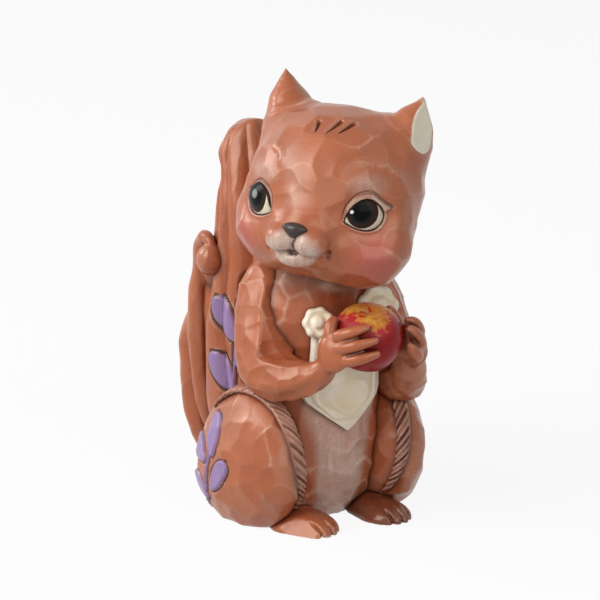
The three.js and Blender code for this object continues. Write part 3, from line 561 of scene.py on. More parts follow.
def makeCream():
    paint, tree, shader = newFinish("creamPaint", 0.45, 0.35)
    mottle = noiseNode(tree, 220, 4)
    streak = noiseNode(tree, 600, 3)
    colour = coats(tree, creamTints, "cream", [
        ("light", spread(tree, mottle, 0.4, 0.65)),
        ("light", maskNode(tree, "wear_and_highlight")),
        ("tan", patchy(tree, maskNode(tree, "tan_below"), mottle, 0.3, 0.65, (0.2, 0.8))),
        ("tan", patchy(tree, maskNode(tree, "wash_and_shade"), streak, 0.3, 0.6, (0.4, 0.9))),
        ("deep", maskNode(tree, "seam_shade")),
    ])
    tree.links.new(colour, shader.inputs["Base Color"])
    tree.links.new(spread(tree, streak, 0.3, 0.7, (0.38, 0.55)), shader.inputs["Roughness"])
    bumpNode(tree, shader, streak, 0.1, 0.0003)
    return paint


appleTints = {
    "red": srgb(148, 15, 19),
    "rose": srgb(178, 37, 45),
    "orange": srgb(204, 122, 48),
    "yellow": srgb(214, 160, 70),
    "deep": srgb(70, 14, 12),
}


def makeApple():
    paint, tree, shader = newFinish("applePaint", 0.35, 0.22)
    mottle = noiseNode(tree, 260, 4)
    stipple = noiseNode(tree, 900, 3)
    crown = maskNode(tree, "crown")
    edge = mathNode(tree, "ADD", crown, spread(tree, stipple, 0.3, 0.7, (-0.24, 0.24)))
    colour = coats(tree, appleTints, "red", [
        ("rose", spread(tree, mathNode(tree, "ADD", mottle, crown), 0.6, 1.0)),
        ("orange", spread(tree, edge, 0.42, 0.58)),
        ("yellow", patchy(tree, spread(tree, edge, 0.6, 0.9), stipple, 0.42, 0.6)),
        ("deep", maskNode(tree, "seam_shade")),
    ])
    tree.links.new(colour, shader.inputs["Base Color"])
    tree.links.new(spread(tree, mottle, 0.3, 0.7, (0.28, 0.42)), shader.inputs["Roughness"])
    bumpNode(tree, shader, stipple, 0.1, 0.0003)
    return paint


eyeTints = {
    "white": srgb(226, 214, 190),
    "shade": srgb(176, 156, 132),
    "ring": srgb(56, 36, 30),
    "grey": srgb(38, 39, 39),
    "black": srgb(10, 9, 9),
    "painted_glint": srgb(250, 250, 250),
    "liner": srgb(44, 20, 13),
}


def makeEye():
    paint, tree, shader = newFinish("eyeGloss", 0.16, 0.06)
    grain = noiseNode(tree, 1500, 2)
    iris, pupil = maskNode(tree, "iris"), maskNode(tree, "pupil")  # distances from their middles, in mm
    rim = maskNode(tree, "outline")
    colour = coats(tree, eyeTints, "white", [
        ("shade", patchy(tree, spread(tree, rim, -0.9, -0.1), grain, 0.3, 0.7)),
        ("liner", spread(tree, iris, 3.32, 3.22)),
        ("ring", spread(tree, iris, 3.22, 3.08)),
        ("grey", spread(tree, pupil, 2.5, 2.3)),
        ("black", spread(tree, pupil, 2.35, 1.5)),
        # painted highlight
        ("painted_glint", maskNode(tree, "painted_glint")),
        ("liner", spread(tree, rim, -0.32, -0.14)),
    ])
    tree.links.new(colour, shader.inputs["Base Color"])
    bumpNode(tree, shader, grain, 0.02, 0.0002)
    return paint


noseTints = {"brown": srgb(58, 44, 38), "light": srgb(92, 74, 64)}


def makeNose():
    paint, tree, shader = newFinish("noseGloss", 0.26, 0.4)
    grain = noiseNode(tree, 900, 3)
    wear_and_highlight = patchy(tree, maskNode(tree, "wear_and_highlight"), grain, 0.3, 0.7)
    colour = coats(tree, noseTints, "brown", [("light", wear_and_highlight)])
    tree.links.new(colour, shader.inputs["Base Color"])
    bumpNode(tree, shader, grain, 0.08, 0.0003)
    return paint


fur, creamPaint, applePaint = makeFur(), makeCream(), makeApple()
eyeGloss, noseGloss = makeEye(), makeNose()
print("finishes mixed")


# torso with the neck

torso = {
    "clay": [
        {"at": (0, 1.5, 17), "half": (15.5, 13.5, 21)},
        {"at": (0, 0, 39), "half": (14, 12.2, 17), "soft": 8},
        {"at": (-9.6, 0, 45.5), "half": (5, 5.4, 5), "soft": 8},
        {"at": (9.6, 0, 45.5), "half": (5, 5.4, 5), "soft": 8},
        {"at": (0, 8, 40), "half": (9, 8, 15), "soft": 8},
        {"at": (0, -3.5, 54.5), "half": (9.3, 9, 9), "soft": 7},
    ],
    "middle": (0, 0.7, 30),
    "knife": {"seed": 4, "size": 4.0, "soft": 0.08, "depth": 0.4},
    "panel": [(-8.6, 27), (-6.6, 17), (-5.6, 6), (-3.6, -2), (3.6, -2), (5.6, 6), (6.6, 17), (8.6, 27),
              (0, 32)],  # dusted belly
    "dust_and_sheen": 0.78, "shade": (0.62, 0.36),  # under the chin: all over, and more to the left
}
torsoMesh = wrapBall("torso_skin", torso["clay"], torso["middle"], 7, 60)
sitFlat(torsoMesh)
whittle(torsoMesh, torso["knife"])
co = coordsOf(torsoMesh)
front = smooth(-2, -8, co[:, 1])
panelGap = outlineGap(co[:, [0, 2]], smoothPath(torso["panel"], 80, True))
weather(torsoMesh)
setMask(torsoMesh, "edge", 0.4 * getMask(torsoMesh, "edge"))
setMask(torsoMesh, "dust_and_sheen", torso["dust_and_sheen"] * smooth(0.6, -1.6, panelGap) * front)
# painted shade under the chin, laid into the wash
underChin = smooth(47, 52, co[:, 2]) * front
shade, more = torso["shade"]
addMask(torsoMesh, "wash_and_shade", (shade + more * smooth(-1, 6, co[:, 0])) * underChin)
finish(torsoMesh, "torso", fur)


# haunches

haunch = {
    "thigh": {"at": (14.7, 0, 13.6), "half": (7.8, 15.5, 15)},
    "hip": {"at": (14.7, 4, 8.6), "half": (7.4, 10.5, 8.7), "soft": 7},
    "knife": {"seed": 11, "size": 4.0, "soft": 0.1, "depth": 0.43},
    "leaves": [  # plain leaves: middle (y, z), half length, half width, turn
        ((3.4, 18.4), 4.6, 2.1, 76), ((8.6, 14.2), 4.3, 2.0, 24),
        ((-0.4, 10.6), 4.3, 2.0, 124), ((7.6, 6.6), 4.0, 1.8, 30),
    ],
    "stalk": [(7.0, 1.6), (4.8, 6.4), (3.8, 10.6), (3.5, 15.0)],
    "rise": 0.5, "cut": (0.25, 0.24), "line": (0.85, 0.25, 0.17),  # of the leaves
}


def haunchClay(side):
    return [mirroredLump(haunch[lump], side) for lump in ("thigh", "hip")]


def leafMask(flat, leaves, stalk):  # distance to the nearest leaf or stalk, negative inside
    stalkHalf = 0.32
    gap = pathGap(flat, smoothPath(stalk, 30))[0] - stalkHalf
    for (y, z), length, width, turn in leaves:
        a = math.radians(turn)
        along = (flat[:, 0] - y) * math.cos(a) + (flat[:, 1] - z) * math.sin(a)
        across = (flat[:, 1] - z) * math.cos(a) - (flat[:, 0] - y) * math.sin(a)
        half = width * np.sqrt(np.maximum(1 - (along / length) ** 2, 0)) * (1 + 0.25 * along / length)
        past = np.abs(along) - length
        leaf = np.where(past < 0, np.abs(across) - half, np.hypot(past, across))
        gap = np.minimum(gap, leaf)
    return gap


def layLeaves(mesh, kit, outer):  # low painted leaves, with a groove and a dark line round them
    leaf = leafMask(coordsOf(mesh)[:, [1, 2]], kit["leaves"], kit["stalk"])
    rise, (cut, cutWide), (dark, line, lineWide) = kit["rise"], kit["cut"], kit["line"]
    press(mesh, (rise * smooth(0.1, -rise, leaf) - 0.3 * bell(leaf - cut, cutWide)) * outer)
    weather(mesh)
    setMask(mesh, "lavender", smooth(0.1, -0.1, leaf) * outer)
    setMask(mesh, "liner", dark * bell(leaf - line, lineWide) * outer)


for name, side in sides.items():
    clay = haunchClay(side)
    mesh = wrapBall("haunch_skin", clay, clay[0]["at"], 7, 40)
    sitFlat(mesh)
    whittle(mesh, sharpen(haunch["knife"], side))
    layLeaves(mesh, haunch, smooth(0.2, 0.5, normalsOf(mesh)[:, 0] * side))
    finish(mesh, "haunch_" + name, fur)


# fur trims on the thighs

trim = {
    "start": 52, "end": 226, "drift": 0.3, "lead": 0.42,  # angles round the thigh, and the sway on the way
    "half": 1.75, "high": 0.9, "lift": 0.15,
    "widths": [0.5, 1, 1, 1, 0.6],
    "pitch": 1.8, "slant": 1.35, "gouge": 0.85, "notch": 0.5,  # gouges: spacing, slant and depths
}


def thighPoint(side, share):  # a place on the thigh along the trim, and the way out of the skin there
    a = math.radians(trim["start"] + (trim["end"] - trim["start"]) * share)
    sway = trim["lead"] * max(1 - share * 2.2, 0) ** 1.5 - trim["drift"] * share * share
    ray = unit(np.array([side * sway, math.cos(a), math.sin(a)]))
    clay = haunchClay(side)
    at = drawIn(np.array(clay[0]["at"]), ray[None], 40, clay)[0]
    steps = np.vstack([np.eye(3), -np.eye(3)]) * 0.05
    slope = clayGap(at + steps, clay)
    out = unit(slope[:3] - slope[3:])
    return at + out * trim["lift"], out


for name, side in sides.items():
    spots = [thighPoint(side, s) for s in np.linspace(0, 1, 70)]
    line, outs = np.array([at for at, out in spots]), np.array([out for at, out in spots])
    inner = unit(np.cross(outs, np.gradient(line, axis=0))) * -side
    run = np.concatenate([[0], np.cumsum(np.linalg.norm(np.diff(line, axis=0), axis=1))])
    half, high = trim["half"], trim["high"]
    mesh = meshFrom("trim_skin", [bendBall({
        "points": line[::3],
        "widths": [half * w for w in trim["widths"]],
        "depths": [high * w for w in trim["widths"]],
        "facing": (1, 0, 0), "around": 72, "along": 420, "full": 0.3,
    })])
    co = coordsOf(mesh)
    steps = np.linspace(0, 1, len(line))
    share = pathGap(co, line)[1]
    at, out, toward = [alongRows(share, steps, rows) for rows in (line, outs, inner)]
    v = ((co - at) * toward).sum(1) / half
    phase = (np.interp(share, steps, run) - trim["slant"] * v * half) / trim["pitch"]
    phase += 0.16 * np.sin(phase * 0.9) + 0.34 * np.sin(phase * 0.57 + 1.1 + side)
    tooth = phase - np.floor(phase)
    deep = 0.75 + 0.35 * np.sin(np.floor(phase) * 2.4)
    gouge = deep * bell(tooth - 0.5, 0.15 + 0.08 * smooth(-0.9, 0.9, v))
    gouge *= smooth(-1.0, -0.45, v) * smooth(1.3, 0.9, v)
    co -= out * (trim["gouge"] * gouge * smooth(-0.1, 0.3, ((co - at) * out).sum(1)))[:, None]
    co -= toward * (trim["notch"] * bell(tooth - 0.5, 0.3) * smooth(0.5, 1.0, v))[:, None]  # notched edge
    setCoords(mesh, co)
    weather(mesh, 2, 8)
    setMask(mesh, "dust_and_sheen", 0.42 * (1 - gouge))
    setMask(mesh, "wash_and_shade", np.clip(0.9 * gouge + 0.3 * getMask(mesh, "wash_and_shade"), 0, 1))
    finish(mesh, "haunch_trim_" + name, fur)


# feet

foot = {
    "right": {"at": (-9.2, -10.6), "turn": 19, "wide": 11.0, "wash_and_shade": 0},
    # the left foot's wash is painted shade
    "left": {"at": (8.9, -10.7), "turn": 9, "wide": 10.2, "wash_and_shade": 0.75},
    "long": 14.2, "high": 4.0, "toes": 4, "middle": 1.2, "groove": 0.75, "grooveWide": 0.36,
    "facet": {"at": (-3.5, -1.85, 2.55), "faces": (-0.71, -0.5, 0.5), "reach": 60},  # right foot only
    "knife": {"seed": 31, "size": 4.4, "soft": 0.08, "depth": 0.5},
}


def footPoint(kit, x, y, z):  # a place given from the middle of a foot
    x, y = np.array(Matrix.Rotation(math.radians(kit["turn"]), 2)) @ np.array([x, y])
    return (x + kit["at"][0], y + kit["at"][1], z)


for name in sides:
    kit, long, high = foot[name], foot["long"], foot["high"]
    half, middle = kit["wide"] / 2, footPoint(kit, 0, 0, foot["middle"])
    clay = [
        {"at": footPoint(kit, 0, 0, 0), "half": (half, long / 2 + 0.9, high)},
        {"at": footPoint(kit, 0, -3.4, 0.4), "half": (half - 0.3, long / 2 - 2.4, high * 0.62), "soft": 1.5},
    ]
    clay = [dict(lump, turn=kit["turn"]) for lump in clay]
    if name == "right":
        reach, slope = foot["facet"]["reach"], unit(np.array(foot["facet"]["faces"]))
        spot = np.array(footPoint(kit, *foot["facet"]["at"])) + slope * reach
        clay.append({"at": tuple(spot), "half": (reach, reach, reach), "soft": 0.4, "cut": True})
    mesh = wrapBall("foot_skin", clay, middle, 7, 20)
    sitFlat(mesh, middle)
    co = coordsOf(mesh)
    whittle(mesh, foot["knife"], smooth(1.5, 5, co[:, 1] - kit["at"][1] + 6))
    toeWide = kit["wide"] / foot["toes"] * 0.94
    for i in range(1, foot["toes"]):  # grooves between the toes
        x = (i - foot["toes"] / 2) * toeWide
        y = -long / 2 + 1.0 + x * x * 0.07
        groove = [(x, y - 2.6, 0), (x, y - 1.6, 1.4), (x * 0.97, y + 1.8, 3.2)]
        gap, share = drawnGap(coordsOf(mesh), [footPoint(kit, *at) for at in groove], 24)
        press(mesh, -foot["groove"] * bell(gap, foot["grooveWide"]) * smooth(1.0, 0.4, share))
    sitFlat(mesh)
    weather(mesh)
    # painted shade: the left foot is darkened all over, the right foot not
    addMask(mesh, "wash_and_shade", kit["wash_and_shade"])
    finish(mesh, "foot_" + name, fur)


# head, in its own frame: the face looks along -Y

head = {
    "seat": (0, -7.5, 69), "turn": -52, "tilt": 5,
    "middle": (0, -3, -1),
    "skull": {"at": (0, 0, 1.5), "half": (17.5, 17.4, 16.8)},
    "temple": {"at": (1.2, 0.6, 2), "half": (16.2, 16.2, 14.5), "soft": 3},
    "cheekRight": {"at": (-8.6, -6.6, -5.9), "half": (9.1, 8.9, 8.2), "soft": 5},
    "cheekLeft": {"at": (10.3, -6.6, -7.2), "half": (9.1, 8.9, 8.8), "soft": 5},
    "jaw": {"at": (0, -7, -8.7), "half": (11, 11, 5.8), "soft": 5},
    "muzzle": {"at": (0, -13.8, -3.6), "half": (5.8, 7.2, 4.8), "soft": 5},
    "socket": {"at": (14.7, -16.5, 0.4), "half": (8.6, 4.6, 6.8), "turn": 41, "soft": 3, "cut": True},
    "lobe": {"at": (3.4, -19.3, -5.3), "half": (3.6, 2.9, 2.95), "turn": 40, "soft": 1.0},
    "lip": {"at": (0, -17.9, -8.9), "half": (4.2, 2.9, 1.7), "soft": 0.7},
    "chin": {"at": (0, -15.6, -9.7), "half": (4.8, 4.4, 1.9), "soft": 1.6},
    "finer": [((0, -1, -0.05), 58), ((1.6, -5.6, 17.4), 16), ((1.6, -5.6, 17.4), 15)],  # face and forelock
    "knife": {"seed": 21, "size": 4.8, "soft": 0.1, "depth": 0.45},
    "uncut": {"at": (0, -19.5, -6.2), "half": (8.6, 6.5, 6.4)},  # no chips round the mouth
    "mouth": [(-6.4, -17.4, -6.9), (-4.8, -20.2, -7.6), (-2.2, -21.2, -7.8), (0, -20.4, -7.5),
              (2.2, -21.2, -7.8), (4.8, -20.2, -7.8), (6.5, -17.6, -7.0)],
    "dimple": [(6.6, -17.4, -6.8), (6.45, -17.4, -7.6), (6.3, -17.2, -8.5)],
    "brow": [(6.2, -15.4, 7.0), (6.7, -13.8, 9.8), (8.2, -12.2, 11.0), (10.7, -10.1, 11.1), (13.1, -8, 10.2),
             (15, -6.4, 8.6), (16.2, -5.9, 6.4)],
    "forelock": [[(-2.1, -7.0, 16.9), (-1.2, -10.6, 15.1)], [(2.7, -5.8, 17.3), (0.9, -10.9, 15.0)],
                 [(5.2, -4.8, 17.4), (3.3, -9.7, 15.4)]],
    "wedge": 1.3,
    "carve": {"eye": 1.7, "lid": 0.55, "rim": 0.28, "fold": 0.28, "mouth": 0.5, "dimple": 0.4, "brow": 0.26,
              "lock": 0.8, "ridge": 0.16, "philtrum": 0.4},  # depths and heights
    # darkness laid into the carved lines; in the forelock cuts it is painted shade
    "dark": {"fold": 0.75, "mouth": 1.1, "dimple": 0.9, "lock": 0.75, "philtrum": 0.8},
    "dust_and_sheen": {"muzzle": 1.1, "brow": 0.5, "lid": 0.5, "bridge": 0.3},
    "philtrum": [(0.15, -22.2, -4.2), (0.05, -21.6, -5.6), (0, -20.9, -7.3)],
    "pale": {"at": (0, -20.6, -6.6), "half": (6.6, 4.6, 4.6)},  # dusted muzzle
    "bridge": [(-5.5, -13.6, 10.6), (-3.4, -15.6, 7.6), (-1.6, -17.4, 3.4)],  # dust and a painted highlight in a line down to the nose, on the right side only
    "blush": {"at": (14.2, -12.4, -8.6), "wide": 4.4, "strong": 0.62},
}
headPlace = Matrix.Translation(head["seat"])
headPlace = headPlace @ Matrix.Rotation(math.radians(head["turn"]), 4, "Z")
headPlace = headPlace @ Matrix.Rotation(math.radians(head["tilt"]), 4, "Y")
eyes = {
    "right": {"at": (-10.5, -13.7, 0.0), "turn": -34, "stretch": 1.1, "slide": 0.35, "lid": 0.4,
              "iris": (0.75, 0.75), "glint": {"at": (0.2, 0.5), "size": 1.1, "bright": 0.3}},
    "left": {"at": (11.4, -12.9, 0.4), "turn": 35, "stretch": 1.0, "slide": 0.0, "lid": 1.0,
             "iris": (-0.4, 0.85), "glint": {"at": (-2.25, 0.12), "size": 0.42, "bright": 1.0}},
    "half": (4.9, 2.4, 4.0),
    "sink": 1.15, "pupil": (-0.3, 0.1), "tuck": 1.6,
    "outline": [(-3.98, -1.17), (-3.35, 0.7), (-2.38, 2.15), (-0.8, 3.24), (0.93, 3.45), (2.84, 2.39),
                (4.1, 0.6), (3.9, -1.12), (2.7, -2.49), (0.75, -3.03), (-1.48, -2.61), (-2.96, -1.94)],
    "upper": 7,  # places of the outline that the upper lid hangs from
    "fold": [(-4.25, -1.1), (-3.6, 1.65), (-2.1, 3.7), (-0.3, 4.65), (1.6, 4.65), (3.2, 3.45), (4.6, 2.5),
             (6.0, 1.75)],
}
ear = {
    "root": (12.2, 5.0, 12.0), "tip": {-1: (15.3, 6.6, 22.6), 1: (15.0, 6.6, 21.2)}, "long": 10.6,
    "taper": [(0, 0.25), (1, 0.75), (2.1, 1.3), (3.4, 2.1), (5.7, 3.5), (7.7, 4.6), (10.6, 5.4)],
    "face": {-1: {"at": (17.6, 5.0, 16.4), "turn": 5, "rise": 16},
             1: {"at": (16.4, 5.0, 16.0), "turn": 22, "rise": 20}},
    "cup": 24, "ball": 8.5, "middle": 0.3,
    "knife": {"seed": 41, "size": 4.0, "soft": 0.09, "depth": 0.3},
}


def earLumps(side):
    root, tip = np.array(ear["root"]), np.array(ear["tip"][side])
    taper = np.array(ear["taper"])
    lumps = []
    for t in (0, 0.2, 0.38, 0.54, 0.68, 0.8, 0.9, 0.97):
        half = float(np.interp(ear["long"] * (1 - t), taper[:, 0], taper[:, 1]))
        lumps.append({"at": mirrored(root + (tip - root) * t, side), "soft": 6 if t == 0 else 0.6,
                      "half": (half, half * 1.12, max(half * 0.9, 0.9))})
    return lumps


def earFace(side, grow):  # a wide shallow cup cut in the outer side of an ear
    face = ear["face"][side]
    a, b = math.radians(face["turn"]), math.radians(face["rise"])
    outward = np.array([side * math.cos(a) * math.cos(b), -math.sin(a) * math.cos(b), math.sin(b)])
    at = np.array(mirrored(face["at"], side)) + outward * ear["cup"]
    return {"at": tuple(at), "half": (ear["cup"] + grow,) * 3, "soft": 0.25, "cut": True, "outward": outward}


def eyeFrame(name):  # an eye's middle, and the ways across it and out of it
    a = math.radians(eyes[name]["turn"])
    across, out = (math.cos(a), math.sin(a), 0), (math.sin(a), -math.cos(a), 0)
    return np.array(eyes[name]["at"]), np.array(across), np.array(out)


def onEye(name, co):  # flat place on an eye, with the nose at its left
    eye, side = eyes[name], sides[name]
    middle, across, out = eyeFrame(name)
    flat = np.stack([(co - middle) @ across * side, co[:, 2] - middle[2]], 1)
    flat[:, 0] = (flat[:, 0] + eye["slide"]) / eye["stretch"]
    return flat, (co - middle) @ out


headClay = [head[lump] for lump in ("skull", "temple", "cheekRight", "cheekLeft", "jaw", "muzzle")]
earRoots = {side: earLumps(side)[0] for side in sides.values()}
faces = {side: earFace(side, 0.15) for side in sides.values()}
headClay += list(earRoots.values()) + list(faces.values())
for lump in (head["socket"], head["lobe"]):
    headClay += [mirroredLump(lump, side) for side in sides.values()]
headClay += [head["lip"], head["chin"]]
headMesh = wrapBall("head_skin", headClay, head["middle"], 7, 34, head["finer"])
co = coordsOf(headMesh)
outline = smoothPath(eyes["outline"], 90, True)
fold = smoothPath(eyes["fold"], 60)
upper = smoothPath(eyes["outline"][:eyes["upper"]], 60)
beyond = 99  # mm, for skin that isn't near an eye
eyeGap, foldGap, foldShare, lidGap, eyeNear = {}, {}, {}, {}, {}
for name in sides:
    flat, depth = onEye(name, co)
    eyeNear[name] = (np.abs(depth) < 6) & (np.abs(flat) < 10).all(1)
    eyeGap[name] = np.where(eyeNear[name], outlineGap(flat, outline), beyond)
    crease = upper + (fold - upper) * eyes[name]["lid"]
    lidBand = np.vstack([crease, upper[::-1], crease[:1]])
    foldGap[name], foldShare[name] = pathGap(flat, crease)
    foldGap[name] = np.where(eyeNear[name], foldGap[name], beyond)
    lidGap[name] = np.where(eyeNear[name], outlineGap(flat, lidBand), beyond)
closest = np.minimum(eyeGap["right"], eyeGap["left"])
hold = smooth(0.6, 2.6, closest) * smooth(0.75, 1.15, ovalGap(co, head["uncut"]))
for side in sides.values():
    hold *= smooth(6.5, 10, awayFrom(co, mirrored(ear["root"], side)))
whittle(headMesh, head["knife"], hold)
co = coordsOf(headMesh)
carve, dark, dusted = head["carve"], head["dark"], head["dust_and_sheen"]
lift = np.zeros(len(co))
liner = np.zeros(len(co))
moreWashAndShade = np.zeros(len(co))
for name in sides:
    gap = eyeGap[name]
    lift -= carve["eye"] * smooth(0.0, -0.5, gap)  # the hole for the eye
    lift += carve["lid"] * smooth(0.22, -0.3, lidGap[name]) * smooth(0.0, 0.12, gap + 0.1)  # upper lid
    lift += carve["rim"] * bell(gap - 0.3, 0.32) * smooth(-0.5, 0.4, lidGap[name])  # lower rim
    lift -= carve["fold"] * bell(foldGap[name] - 0.15, 0.22)  # fold above the lid
    liner = np.maximum(liner, 0.95 * smooth(0.28, 0.05, gap) * (gap > -2))
    crease = bell(foldGap[name] - 0.2, 0.2) * smooth(0.0, 0.06, foldShare[name])
    moreWashAndShade = np.maximum(moreWashAndShade, dark["fold"] * crease)
mouthGap = drawnGap(co, head["mouth"], 80)[0]
lift -= carve["mouth"] * bell(mouthGap, 0.42)
moreWashAndShade = np.maximum(moreWashAndShade, dark["mouth"] * bell(mouthGap, 0.36))
for side in sides.values():
    gap = drawnGap(co, [mirrored(at, side) for at in head["dimple"]], 20)[0]
    lift -= carve["dimple"] * bell(gap, 0.36)
    moreWashAndShade = np.maximum(moreWashAndShade, dark["dimple"] * bell(gap, 0.3))
    gap, share = drawnGap(co, [mirrored(at, side) for at in head["brow"]], 50)
    lift += carve["brow"] * bell(gap - 0.1, 0.8) * smooth(0, 0.15, share) * smooth(1, 0.85, share)
for lock in head["forelock"]:  # three wedge cuts above the forehead, steep on one side
    top, end = np.array(lock[0]), np.array(lock[1])
    along = end - top
    across = unit(np.cross(along, np.array([0, -0.4, 0.9])))
    share = (co - top) @ along / (along @ along)
    c = (co - top) @ across
    near = awayFrom(co, (top + end) / 2) < 4
    gape = head["wedge"] * np.clip(1.05 - share, 0, 1) ** 0.8
    cut = smooth(-1, 0, c / np.maximum(gape, 0.05)) * smooth(0.14, 0.0, c)
    cut *= smooth(0, 0.18, share) * smooth(1, 0.85, share) * near
    lift -= carve["lock"] * cut
    lift += carve["ridge"] * bell(c - 0.4, 0.3) * smooth(0, 0.3, share) * smooth(1, 0.8, share) * near
    # painted shade in the forelock cut
    moreWashAndShade = np.maximum(moreWashAndShade, dark["lock"] * cut ** 1.5)
gap = drawnGap(co, head["philtrum"], 24)[0]
lift -= carve["philtrum"] * bell(gap, 0.3)
moreWashAndShade = np.maximum(moreWashAndShade, dark["philtrum"] * bell(gap, 0.22))
press(headMesh, lift)
weather(headMesh)
co = coordsOf(headMesh)
setMask(headMesh, "wash_and_shade", np.clip(getMask(headMesh, "wash_and_shade") * 0.6 + moreWashAndShade, 0, 1))
setMask(headMesh, "liner", liner)
dust_and_sheen = dusted["muzzle"] * smooth(1.02, 0.72, ovalGap(co, head["pale"]))
for name in sides:
    flat = onEye(name, co)[0]
    above = np.hypot((flat[:, 0] - 0.6) / 5.2, (flat[:, 1] - 6.0) / 2.7)
    dust_and_sheen = np.maximum(dust_and_sheen, dusted["brow"] * smooth(1.15, 0.3, above) * eyeNear[name])
    dust_and_sheen = np.maximum(dust_and_sheen, dusted["lid"] * smooth(0.1, -0.25, lidGap[name]))
# dust and a painted highlight down the right of the forehead
bridge = pathGap(co, smoothPath(head["bridge"], 20))[0]
dust_and_sheen = np.maximum(dust_and_sheen, dusted["bridge"] * bell(bridge, 2.2))
setMask(headMesh, "dust_and_sheen", dust_and_sheen)
blush = np.zeros(len(co))
for side in sides.values():
    away = awayFrom(co, mirrored(head["blush"]["at"], side))
    blush = np.maximum(blush, head["blush"]["strong"] * bell(away, head["blush"]["wide"]))
setMask(headMesh, "blush", blush)
finish(headMesh, "head", fur, headPlace)


# eyes

for name, side in sides.items():
    eye = eyes[name]
    middle, across, out = eyeFrame(name)
    wide, deep, high = eyes["half"]
    bm = newBall(6)
    lay(bm, (wide * eye["stretch"], deep, high), middle - out * eyes["sink"] - across * side * eye["slide"],
        Matrix.Rotation(math.radians(eye["turn"]), 3, "Z"))
    mesh = meshFrom("eye_skin", [bm])
    co = coordsOf(mesh)
    flat, depth = onEye(name, co)
    rim = outlineGap(flat, outline)
    tuck = eyes["tuck"] * smooth(0.05, 0.7, rim) * (depth > -1.2)  # goes in behind the lids
    setCoords(mesh, co - out * tuck[:, None])
    iris, glint = np.array(eye["iris"]), eye["glint"]
    setMask(mesh, "outline", rim)
    setMask(mesh, "iris", awayFrom(flat, iris))
    setMask(mesh, "pupil", awayFrom(flat - iris, eyes["pupil"]))
    # painted highlight on the eye
    painted_glint = awayFrom(flat - iris, glint["at"])
    setMask(mesh, "painted_glint", glint["bright"] * smooth(glint["size"], glint["size"] * 0.6, painted_glint) * (depth > 0))
    finish(mesh, "eye_" + name, eyeGloss, headPlace)


# nose

nose = {"at": (0.1, -21.0, -2.6), "half": (2.75, 1.5, 1.75), "lean": 20}
bm = newBall(5)
for v in bm.verts:
    v.co.x *= 0.52 + 0.48 * float(smooth(-1.0, 0.35, v.co.z))  # narrow at the bottom, as a soft triangle
    v.co.z = 0.8 * v.co.z if v.co.z > 0 else v.co.z
lay(bm, nose["half"], nose["at"], Matrix.Rotation(math.radians(-nose["lean"]), 3, "X"))
mesh = meshFrom("nose_skin", [bm])
weather(mesh)
finish(mesh, "nose", noseGloss, headPlace)


# ears: cones with a cream scoop in the outer side

for name, side in sides.items():
    root, tip = [np.array(mirrored(at, side)) for at in (ear["root"], ear["tip"][side])]
    middle = root + (tip - root) * ear["middle"]
    flat = earFace(side, 0)
    ball = {"at": tuple(middle), "half": (ear["ball"],) * 3, "keep": True}
    skipped = [earRoots[-side]] + list(faces.values())
    earClay = [lump for lump in headClay if not any(lump is other for other in skipped)]
    earClay += earLumps(side)[1:] + [flat, ball]
    mesh = wrapBall("ear_skin", earClay, middle, 6, 12)
    co = coordsOf(mesh)
    away = awayFrom(co, middle) / ear["ball"]
    facing = smooth(0.3, 0.6, normalsOf(mesh) @ flat["outward"])
    cream = smooth(0.3, 0.12, np.abs(lumpGap(co, flat))) * facing
    whittle(mesh, sharpen(ear["knife"], side), (1 - cream) * smooth(0.85, 0.6, away))
    press(mesh, 0.12 - 0.5 * smooth(0.7, 0.98, away))
    weather(mesh)
    setMask(mesh, "cream", cream)
    setMask(mesh, "wash_and_shade", getMask(mesh, "wash_and_shade") * (1 - 0.8 * cream))
    finish(mesh, "ear_" + name, fur, headPlace)


# bib: a shield on the chest with a stepped border

bib = {
    "top": 46.5, "tip": 20.5, "thick": 1.7,
    "half": [(0.0, 0.2), (0.12, 4.3), (0.24, 8.2), (0.3, 8.9), (0.45, 8.9), (0.58, 7.4), (0.8, 7.0),
             (1.0, 6.4)],  # half widths by the share of the height
    "notch": 9.0, "border": 0.16, "step": 0.55, "bed": 1.2,
    "oval": {"at": 0.33, "wide": 0.5, "high": 0.17},  # hollow, in shares of the shield
}


def chestFront(x, z):  # the torso's skin straight ahead of a place on the chest
    ahead, rounds, share = -40.0, 60, 0.7
    y = np.full(len(x), ahead)
    for i in range(rounds):
        y += share * clayGap(np.stack([x, y, z], 1), torso["clay"])
    return y


bm = bmesh.new()
bmesh.ops.create_grid(bm, x_segments=100, y_segments=150, size=1)
co = np.array([v.co for v in bm.verts])
s, t = co[:, 0], (co[:, 1] + 1) / 2
halfWidths = np.array(bib["half"])
half = np.interp(t, halfWidths[:, 0], halfWidths[:, 1])
height = bib["tip"] + t * (bib["top"] - bib["tip"] - bib["notch"] * (1 - np.abs(s) ** 1.5) * t)
x = s * half
y = chestFront(x, height)
rim = np.minimum(1 - np.abs(s), np.minimum(t * 1.4 + 0.02, (1 - t) * 1.6))
relief = bib["step"] * smooth(bib["border"] - 0.03, bib["border"] + 0.03, rim)
oval = np.hypot(s / bib["oval"]["wide"], (t - bib["oval"]["at"]) / bib["oval"]["high"])
relief += 0.45 * bell(oval - 1, 0.22) - 0.55 * smooth(0.9, 0.3, oval)
relief -= 0.3 * bell(rim - 0.3, 0.05) * smooth(1.1, 1.4, oval)
for v, px, py, pz, out in zip(bm.verts, x, y, height, relief):
    v.co = (px, py - bib["thick"] - out, pz)
rear = bmesh.ops.extrude_face_region(bm, geom=list(bm.faces))["geom"]
rear = [part for part in rear if isinstance(part, bmesh.types.BMVert)]
bmesh.ops.translate(bm, vec=(0, bib["thick"] + bib["bed"], 0), verts=rear)
bmesh.ops.recalc_face_normals(bm, faces=bm.faces)
mesh = meshFrom("bib_skin", [bm])
weather(mesh, 3, 10)
# tan, darker towards the bottom of the bib
setMask(mesh, "tan_below", smooth(36, 22, coordsOf(mesh)[:, 2]) * 0.3)
finish(mesh, "bib", creamPaint)


# rosettes at the shoulders of the bib

